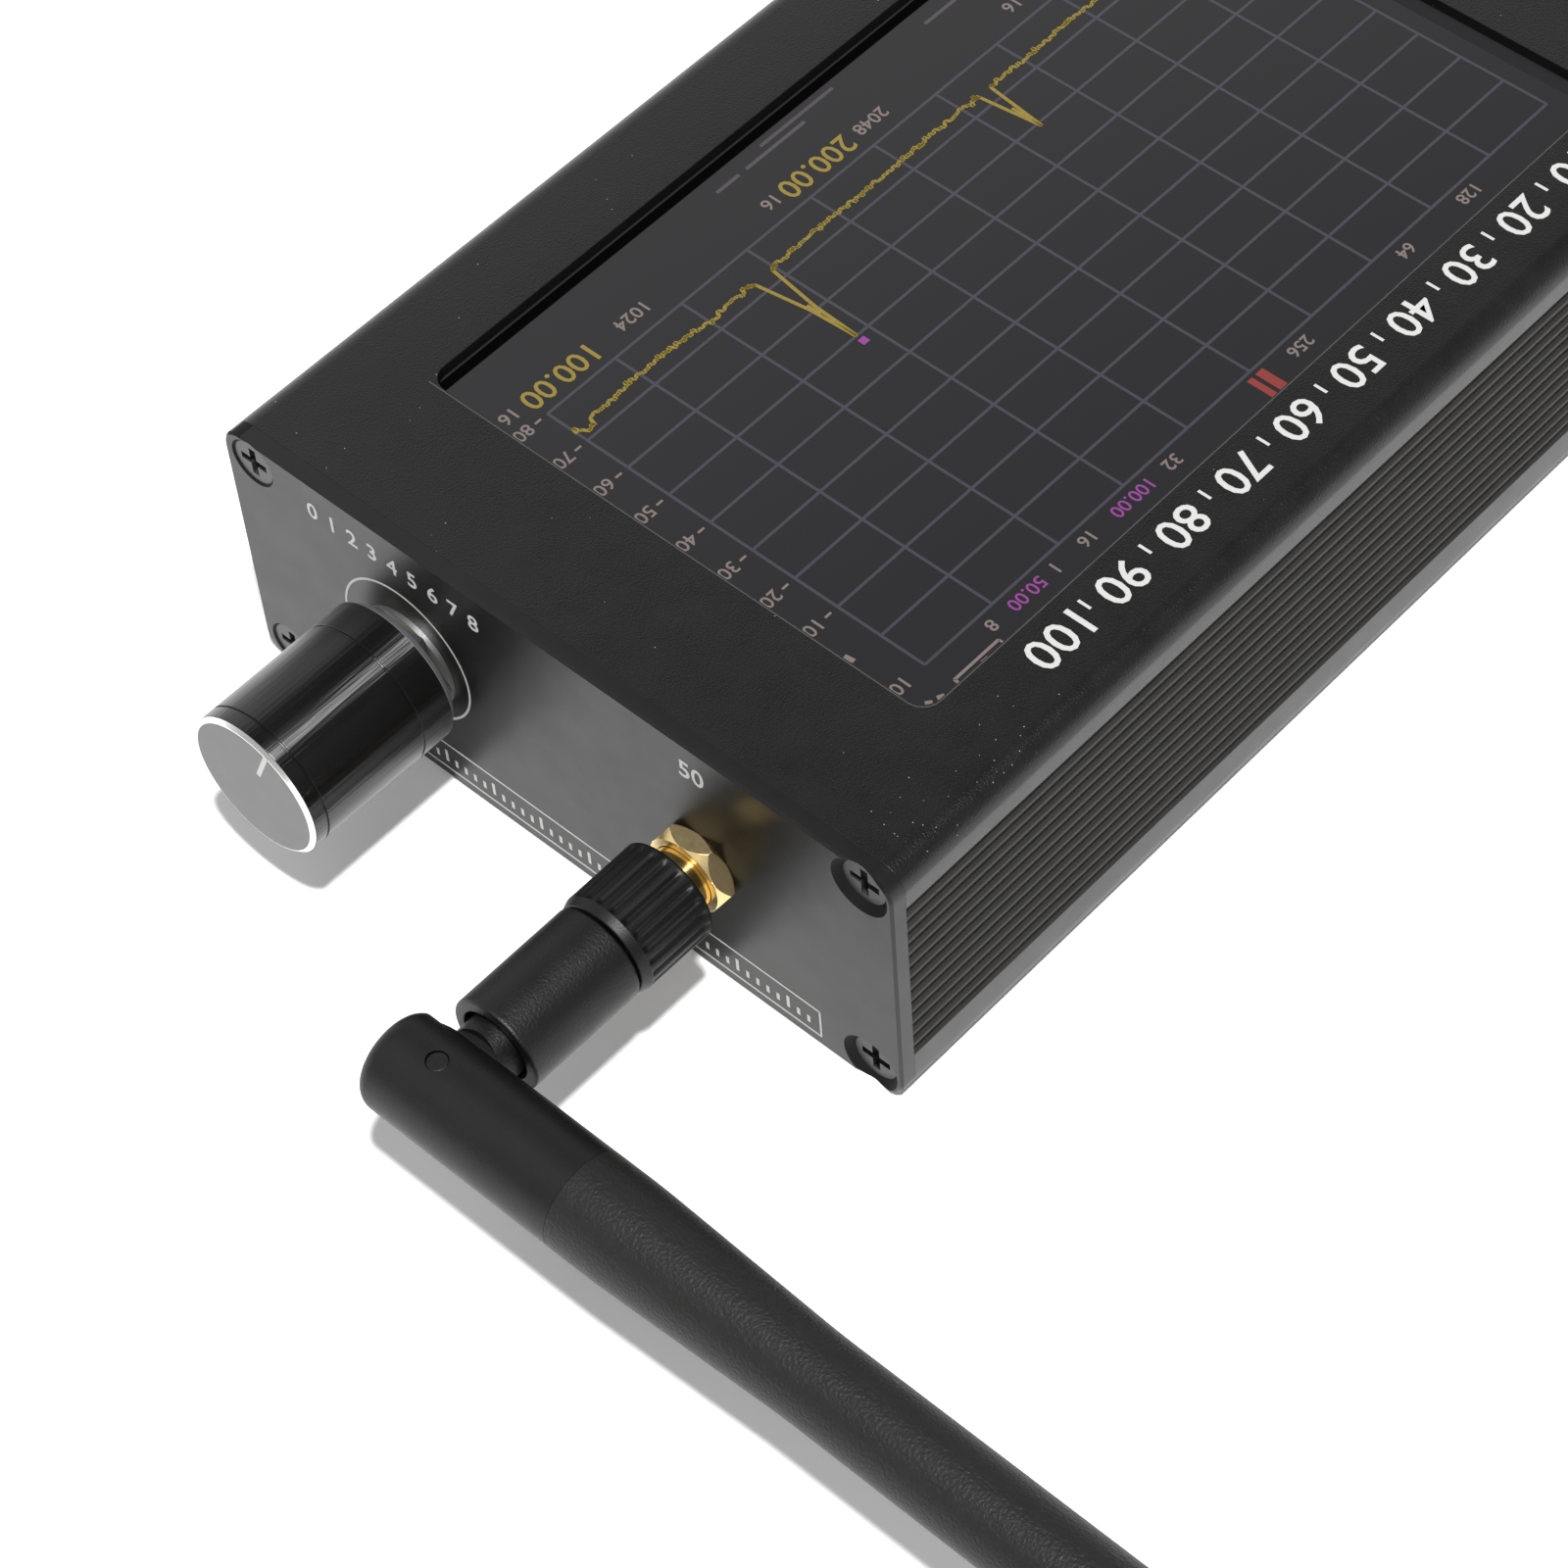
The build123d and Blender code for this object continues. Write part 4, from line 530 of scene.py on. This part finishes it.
faint_pink = finish("faint chart figures", (0.045, 0.038, 0.045), 0.4, mottle=0.05, glow=0.5)
small_starts = [(12.0, -26.2), (3.0, -26.2), (-2.0, -27.2), (-24.0, -26.2)]
small_ends = [(15.0, -26.2), (11.0, -26.2), (8.0, -27.2), (-14.0, -26.2)]
strips("small_status_bars", small_starts, small_ends, 0.4, screen_plane, faint_pink, proud=0.012)
alarm_red = finish("chart red", (0.125, 0.016, 0.014), 0.4, mottle=0.05, glow=0.8)
flag_along = [0.7, 2.0]
strips("status_flag", spots(flag_along, 26.0), spots(flag_along, 28.9), [1.0, 0.7], screen_plane, alarm_red,
       proud=0.016)
cell_starts = [(38.6, 29.5), (38.6, 28.4), (44.3, 28.4), (40.6, 28.95), (42.2, 29.0)]
cell_ends = [(38.6, 28.4), (44.3, 28.4), (44.3, 29.5), (41.4, 28.95), (42.8, 29.0)]
cell_widths = [0.22, 0.3, 0.3, 0.3, 0.3]
strips("charge_outline", cell_starts, cell_ends, cell_widths, screen_plane, figure_pink, proud=0.017)
cut_starts = [(46.7, 28.6), (47.8, 28.2), (48.35, 19.6)]
cut_ends = [(46.1, 28.9), (47.3, 28.6), (48.2, 20.6)]
strips("cut_figures", cut_starts, cut_ends, 0.5, screen_plane, figure_pink, proud=0.017)

# Boards under the screen: green laminate on nickel plated spacers, with chips, a tinned shield can, the
# panel's film cable and the battery between them. None of it shows while the case is closed.
solder_mask = finish("green solder mask", (0.012, 0.075, 0.028), 0.35, mottle=0.3, mottle_size=1.5,
                     grain=0.15)
paint(solder_mask, "display_board", "main_board")
nickel_plate = finish("nickel plate", (0.60, 0.57, 0.50), 0.25, metal=1.0, mottle=0.06, grain=0.08)
paint(nickel_plate, "board_spacers", "spacer_screws")
paint(tinned_steel, "rf_shield_can")
paint(finish("amber film", (0.36, 0.13, 0.012), 0.25, mottle=0.2, mottle_size=1.0), "lcd_flex")
ivory_nylon = finish("ivory nylon", (0.62, 0.57, 0.43), 0.45, mottle=0.05, grain=0.1)
paint(ivory_nylon, "flex_connector", "battery_header", "battery_plug")
moulded_black = finish("moulded black", (0.012, 0.012, 0.012), 0.5, mottle=0.15, grain=0.25, grain_size=0.1)
paint(moulded_black, "rf_chips", "processor_chip")
battery_foil = finish("battery foil", (0.34, 0.35, 0.36), 0.32, metal=0.7, mottle=0.1, mottle_size=8.0,
                      grain=0.3, grain_size=2.0)
paint(battery_foil, "battery_cell")
paint(finish("red sleeving", (0.40, 0.012, 0.010), 0.3, mottle=0.08), "battery_leads")

# Rotary encoder behind the front plate: a moulded housing with a switch dome and its plunger, and nickel
# plated bushing, nut, shaft and pins. The washer on the plate is zinc plated steel.
paint(moulded_black, "encoder_housing")
paint(nickel_plate, "encoder_bushing", "encoder_nut", "encoder_shaft", "encoder_pins")
paint(milky_acrylic, "encoder_plunger")
eased("encoder_dome", "switch_dome", 0, tinned_steel)
bright_zinc = finish("bright zinc", (0.36, 0.36, 0.36), 0.45, metal=1.0, mottle=0.1, grain=0.15,
                     grain_size=0.3, stretch=(1.0, 6.0, 1.0))
paint(bright_zinc, "encoder_washer")


# Knob: turned aluminium cap on a plastic core, black anodised and glossy over fine turning marks, with
# two ring grooves. Its front rim and back edge are cut bright, its face is grey, its pointer white.
def grid(rows, columns, ring_of_rows=False):
    """Corner numbers of the cells of a grid of points whose columns close into a ring."""
    row_count = rows if ring_of_rows else rows - 1
    row, column = np.indices((row_count, columns)).reshape(2, -1)
    row_after, column_after = (row + 1) % rows, (column + 1) % columns
    return np.stack((row * columns + column, row_after * columns + column,
                     row_after * columns + column_after, row * columns + column_after), axis=1)


def rounded(corners, radii, ring=False, steps=4, hold=1.25):
    """Profile with its corners rounded: each corner gives a parabola between the points a radius before and
    after it, and one more point on either side, hold radii away, that keeps the flats flat."""
    corners = np.array(corners, float)
    before, after = np.roll(corners, 1, axis=0) - corners, np.roll(corners, -1, axis=0) - corners
    if not ring:
        before[0], after[-1] = after[0], before[-1]
    before /= np.linalg.norm(before, axis=1)[:, None]
    after /= np.linalg.norm(after, axis=1)[:, None]
    radii = np.broadcast_to(radii, len(corners)).astype(float).copy()
    if not ring:
        radii[0] = radii[-1] = 0.0
    s = np.linspace(0, 1, steps + 1)
    weights = np.stack((np.r_[hold, (1 - s) ** 2, 0], np.r_[0, s ** 2, hold]), axis=1)
    bent = weights @ np.stack((before, after), axis=1) * radii[:, None, None]
    return (corners[:, None, :] + bent).reshape(-1, 2), steps + 3


def turned(name, corners, radii, centre, shades, bands=None, along="y", around=128, ring=False, crease=40.0):
    """Turned form about a line along the case or across it: at angle t, a profile point (radius, place) lies
    radius cos t to the side and radius sin t up from the centre. Bands give each profile edge its finish."""
    profile, each = rounded(corners, radii, ring)
    t = np.arange(around) * 2 * math.pi / around
    side, height = profile[:, :1] * np.cos(t), profile[:, :1] * np.sin(t) + centre[1]
    place = np.broadcast_to(profile[:, 1:], side.shape)
    side = side + centre[0]
    points = np.stack((side, place, height) if along == "y" else (place, side, height), -1)
    cells = grid(len(profile), around, ring)
    paints = None
    if bands is not None:
        paints = np.repeat(np.repeat(np.array(bands), each)[:len(cells) // around], around)
    return surface(name, points.reshape(-1, 3), cells, shades, paints, crease)


knob_centre = tuple(box_mm("encoder_housing").mean(0)[[0, 2]])
knob_front, knob_back = box_mm("knob_shell")[:, 1]
knob_radius, face_radius, back_radius, bore_radius = 7.5, 7.05, 6.9, 6.2
bore_end, rim_depth, back_depth = -82.9, 0.38, 0.65
ring_radius, ring_half, ring_places = 7.32, 0.125, (-82.6, -70.8)
knob_profile = [(0, knob_front), (face_radius, knob_front), (knob_radius, knob_front + rim_depth)]
for ring_y in ring_places:
    knob_profile += [(knob_radius, ring_y - ring_half), (ring_radius, ring_y - ring_half),
                     (ring_radius, ring_y + ring_half), (knob_radius, ring_y + ring_half)]
knob_profile += [(knob_radius, knob_back - back_depth), (back_radius, knob_back), (bore_radius, knob_back),
                 (bore_radius, bore_end), (0, bore_end)]
knob_radii = [0, 0.05, 0.06] + [0.05] * 12 + [0]
knob_black = finish("glossy black anodising", (0.0018, 0.0018, 0.0019), 0.31, mottle=0.1, grain=0.6,
                    grain_size=0.35, stretch=(1.0, 0.03, 1.0), rough_spread=0.03, ior=1.58)
turning_marks = knob_black.node_tree.nodes["Principled BSDF"]
turning_marks.inputs["Anisotropic"].default_value = 0.90
turning_marks.inputs["Anisotropic Rotation"].default_value = 0.25
round_the_knob = add_node(knob_black.node_tree, "Tangent", direction_type="RADIAL", axis="Y")
knob_black.node_tree.links.new(round_the_knob.outputs["Tangent"], turning_marks.inputs["Tangent"])
knob_grey = finish("grey anodised face", (0.088, 0.088, 0.090), 0.36, mottle=0.04, grain=0.12,
                   grain_size=0.2)
cut_bright = finish("bright cut aluminium", (0.80, 0.80, 0.79), 0.22, metal=1.0, mottle=0.04, grain=0.05,
                    stretch=(0.05, 1.0, 0.05))
back_cut = finish("dull cut aluminium", (0.17, 0.18, 0.19), 0.50, metal=0.3, mottle=0.05, grain=0.05)
side_band, face_band, rim_band, back_band = range(4)
knob_bands = [face_band, rim_band] + [side_band] * 9 + [back_band] + [side_band] * 4
knob = turned("knob", knob_profile, knob_radii, knob_centre, [knob_black, knob_grey, cut_bright, back_cut],
              knob_bands, around=192)
dress(knob, "knob_shell")
paint(moulded_black, "knob_core")
pointer_white = finish("white ink", (0.51, 0.51, 0.50), 0.5, mottle=0.03, grain=0.1)
pointer_turn = math.radians(66.0)
pointer_way = np.array((math.cos(pointer_turn), math.sin(pointer_turn)))
knob_face_plane = ((knob_centre[0], knob_front, knob_centre[1]), (1, 0, 0), (0, 0, 1))
pointer_start, pointer_end = pointer_way * 3.0, pointer_way * 7.15
strips("knob_pointer", pointer_start, pointer_end, 0.5, knob_face_plane, pointer_white, "knob", proud=0.02)

# Coaxial jack through the front plate: gold plated brass barrel with a quarter-inch thread, its
# insulator and contact, a lock washer inside and a hexagon nut outside.
jack_centre = tuple(box_mm("jack_nut").mean(0)[[0, 2]])
gold_plate = finish("gold plate", (0.83, 0.57, 0.20), 0.13, metal=1.0, mottle=0.05, mottle_size=0.6,
                    grain=0.06, grain_size=0.35, rough_spread=0.04)
paint(gold_plate, "jack_shell", "jack_contact", "jack_lock_washer")
paint(milky_acrylic, "jack_insulator")
satin_gold = finish("satin gold plate", (0.62, 0.48, 0.25), 0.42, metal=1.0, mottle=0.14, mottle_size=0.4,
                    grain=0.3, grain_size=0.12)
brushed_gold = finish("brushed gold plate", (0.86, 0.66, 0.32), 0.30, metal=1.0, mottle=0.05,
                      mottle_size=0.6, grain=0.15, grain_size=0.2)
nut = eased("jack_nut", "jack_hexagon_nut", 0.05, brushed_gold)
part_shade(nut, satin_gold, lambda c, n: np.abs(n[:, 1]) < 0.1)

# Antenna coupling: a sleeve of black nylon, fluted for the fingers, pressed over a gold plated brass
# insert. A plain tapered nose follows the flutes.
nylon_black = finish("satin black nylon", (0.0026, 0.0026, 0.0027), 0.44, mottle=0.15, grain=0.35,
                     grain_size=0.16, ior=1.40)
nose_end, sleeve_back = box_mm("coupling_sleeve")[:, 1]
flutes_end = -76.4
sleeve_radius, nose_radius = 5.1, 4.75
insert_radius, neck_bore = 4.02, 2.5
insert_seat = sleeve_back - 4.0
flute_count, flute_depth = 22, 0.24
back_lip, run_in, run_out = 0.35, 0.45, 0.25


def fluted_sleeve(columns, rings):
    """Sleeve along the case: the radius at angle t dips by the flute's depth times the third power of a
    raised cosine of the flutes' count times t, except on a lip at the back and on the nose, which tapers."""
    t = np.arange(columns) * 2 * math.pi / columns
    dip = flute_depth * (0.5 + 0.5 * np.cos(flute_count * t)) ** 3
    outside = [(insert_radius, sleeve_back), (sleeve_radius, sleeve_back), (sleeve_radius, flutes_end),
               (nose_radius, nose_end), (neck_bore, nose_end)]
    profile, _ = rounded(outside, [0, 0.22, 0.06, 0.15, 0])
    fluted = spots(sleeve_radius, np.linspace(sleeve_back - run_in, flutes_end + 0.12, rings))
    split = int(np.argmax(profile[:, 1] < (sleeve_back + flutes_end) / 2))
    profile = np.concatenate((profile[:split], fluted, profile[split:],
                              [(neck_bore, insert_seat), (insert_radius, insert_seat)]))
    fade = (np.clip((sleeve_back - back_lip - profile[:, 1]) / run_in, 0, 1)
            * np.clip((profile[:, 1] - flutes_end - 0.1) / run_out, 0, 1))
    fade[profile[:, 0] < sleeve_radius - 0.3] = 0.0
    radii = profile[:, :1] - fade[:, None] * dip
    points = np.stack((jack_centre[0] + radii * np.cos(t), np.broadcast_to(profile[:, 1:], radii.shape),
                       jack_centre[1] + radii * np.sin(t)), -1)
    return points.reshape(-1, 3), grid(len(profile), columns, True)


sleeve_points, sleeve_cells = fluted_sleeve(12 * flute_count, 24)
dress(surface("coupling_grip", sleeve_points, sleeve_cells, [nylon_black], crease=50.0), "coupling_sleeve")
paint(gold_plate, "coupling_insert")

# Antenna stub: round barrel of moulded nylon on a gold plated ferrule, open at its end, where the elbow's
# neck comes out of it. The ferrule holds the plug's pin in an insulator.
elbow_black = finish("grained black nylon", (0.0026, 0.0025, 0.0024), 0.46, mottle=0.15, grain=0.8,
                     grain_size=0.25, ior=1.44)
stub_end, stub_start = box_mm("antenna_stub")[:, 1]
stub_radius, ferrule_radius, neck_radius, neck_seat = 4.8, 2.23, 3.63, -82.15
stub_profile = [(ferrule_radius, stub_start), (stub_radius, stub_start), (stub_radius, stub_end),
                (neck_radius, stub_end), (neck_radius, neck_seat), (ferrule_radius, neck_seat)]
stub_radii = [0.05, 0.25, 0.30, 0.12, 0.05, 0.05]
stub = turned("antenna_barrel", stub_profile, stub_radii, jack_centre, [elbow_black], ring=True)
dress(stub, "antenna_stub")
paint(gold_plate, "antenna_ferrule", "antenna_pin")
paint(milky_acrylic, "antenna_insulator")

# Elbow and whip base: two mouldings that a pin joins. The neck turns in the stub, its tongue lies in
# the whip's slot, and the whip folds about the pin.
foot_black = finish("smooth black nylon", (0.0024, 0.0023, 0.0022), 0.46, mottle=0.15, grain=0.35,
                    grain_size=0.3, ior=1.42)
eased("elbow_knuckle", "elbow_neck", 0.12, elbow_black)
eased("whip_base", "whip_foot", 0.10, foot_black, crease=32.0)
eased("hinge_pin", "elbow_pin", 0.15, elbow_black)

# Whip radome: a thin black tube slipped over the base's spigot, tapering to a slimmer rod with a round
# tip, with the radiating element inside.
radome_black = finish("grained black radome", (0.0060, 0.0058, 0.0056), 0.52, mottle=0.5, mottle_size=0.7,
                      grain=1.0, grain_size=0.32, grain_height=0.10, ior=1.43)
whip_centre = tuple(box_mm("hinge_pin").mean(0)[[1, 2]])
tube_start, tip = box_mm("whip_radome")[:, 0]
tube_radius, rod_radius, spigot_radius, tube_bore = 4.75, 4.0, 3.35, 2.4
taper_start, taper_end = tube_start + 5.0, tube_start + 25.0
spigot_end, tip_bore = tube_start + 8.05, tip - 2.5
radome_profile = [(spigot_radius, tube_start), (tube_radius, tube_start), (tube_radius, taper_start),
                  (rod_radius, taper_end), (rod_radius, tip), (0, tip), (0, tip_bore),
                  (tube_bore, tip_bore), (tube_bore, spigot_end), (spigot_radius, spigot_end)]
radome_radii = [0.05, 0.08, 2.0, 2.0, 3.1, 0, 0, 0, 0, 0]
radome = turned("whip_tube", radome_profile, radome_radii, whip_centre, [radome_black], along="x", ring=True)
dress(radome, "whip_radome")
paint(finish("drawn brass", (0.60, 0.40, 0.13), 0.3, metal=1.0, mottle=0.06, grain=0.1), "whip_element")

# Rear end: slide switch of moulded plastic, charging socket of drawn steel and a pale charge lamp, each
# seen through its own opening in the rear plate.
paint(moulded_black, "switch_body", "socket_tongue")
eased("switch_lever", "switch_slider", 0.15, moulded_black)
drawn_steel = finish("drawn steel", (0.48, 0.48, 0.49), 0.24, metal=1.0, mottle=0.08, grain=0.1,
                     grain_size=0.3)
eased("socket_shell", "charging_socket", 0.05, drawn_steel)
paint(finish("lamp lens", (0.55, 0.62, 0.55), 0.12, mottle=0.05, mottle_size=1.0), "charge_lamp")

# Painted highlight on the window's edge: a fine pale line along the edge on the knob's end and the edge
# on the jack's side, and round the corner between them, for the light that the broken edge catches.
roof_plane = ((0, 0, roof_z), (0, -1, 0), (1, 0, 0))
near_edge, side_edge, corner_radius = 49.57, 29.86, 2.0
corner_turn = np.radians(np.arange(0, 91, 15))
highlight_corner = spots(near_edge - corner_radius * (1 - np.cos(corner_turn)),
                    side_edge - corner_radius * (1 - np.sin(corner_turn)))
highlight_line = np.concatenate(([(near_edge, -28.9)], highlight_corner, [(-45.5, side_edge)]))
# Painted highlight: a pale grey for the fine line of light along the window's two near edges.
edge_highlight_grey = finish("painted highlight on the edge", (0.05, 0.05, 0.05), 0.5, mottle=0.3, mottle_size=0.8)
strips("painted_edge_highlight", highlight_line[:-1], highlight_line[1:], 0.12, roof_plane, edge_highlight_grey, proud=0.008)

# White printing on the case: plain scales and figures, screen printed on the anodising. The roof's scale
# reads along the window, and the front plate has one at the knob, one at its foot and a sign at the jack.
mark_step, first_mark = 8.0, -44.0
roof_names = [("%d" % (10 * k), mark_step * k + first_mark, 31.5, 3.4) for k in range(11)]
figures("roof_scale_figures", roof_names, roof_plane, pointer_white, weight=0.035)
tick_along = mark_step * (np.arange(10) + 0.5) + first_mark
strips("roof_scale_ticks", spots(tick_along, 31.6), spots(tick_along, 33.0), 0.3, roof_plane, pointer_white)
front_y = box_mm("front_end_plate")[0][1]
front_plane = ((0, front_y, 0), (1, 0, 0), (0, 0, 1))
knob_names = [("%d" % k, -28.6 + 2.5 * k, 26.4, 1.9) for k in range(9)]
figures("knob_scale_figures", knob_names, front_plane, pointer_white, weight=0.03)
figures("jack_figures", [("50", jack_centre[0], 26.6, 2.1)], front_plane, pointer_white, weight=0.03)
inner_edge, outer_edge, ink_y = 7.62, 7.86, front_y - 0.015
ring_profile = [(inner_edge, front_y), (outer_edge, front_y), (outer_edge, ink_y), (inner_edge, ink_y)]
ring_centre = (-18.5, 16.1)
printed_ring = turned("knob_ring", ring_profile, 0.0, ring_centre, [pointer_white], around=160, ring=True)
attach(printed_ring, "case")
frame_left, frame_right, frame_foot, frame_head = -29.0, 30.3, 1.3, 5.0
frame_corners = [(frame_left, frame_foot), (frame_right, frame_foot), (frame_right, frame_head),
                 (frame_left, frame_head)]
strips("scale_frame", frame_corners, frame_corners[1:] + frame_corners[:1], 0.2, front_plane, pointer_white)
tick_count, first_tick, last_tick = 48, -27.6, 28.9
tick_foot, short_tick_top, long_tick_extra = 2.3, 3.2, 0.7
tick_x = np.linspace(first_tick, last_tick, tick_count)
tick_top = short_tick_top + long_tick_extra * (np.arange(tick_count) % 5 == 0)
strips("scale_ticks", spots(tick_x, tick_foot), spots(tick_x, tick_top), 0.35, front_plane, pointer_white)
rear_plane = ((0, box_mm("rear_end_plate")[1][1], 0), (-1, 0, 0), (0, 0, 1))
figures("switch_figures", [("ON", -20.4, 19.6, 1.7), ("OFF", -15.2, 19.6, 1.7)], rear_plane, pointer_white,
        weight=0.02)
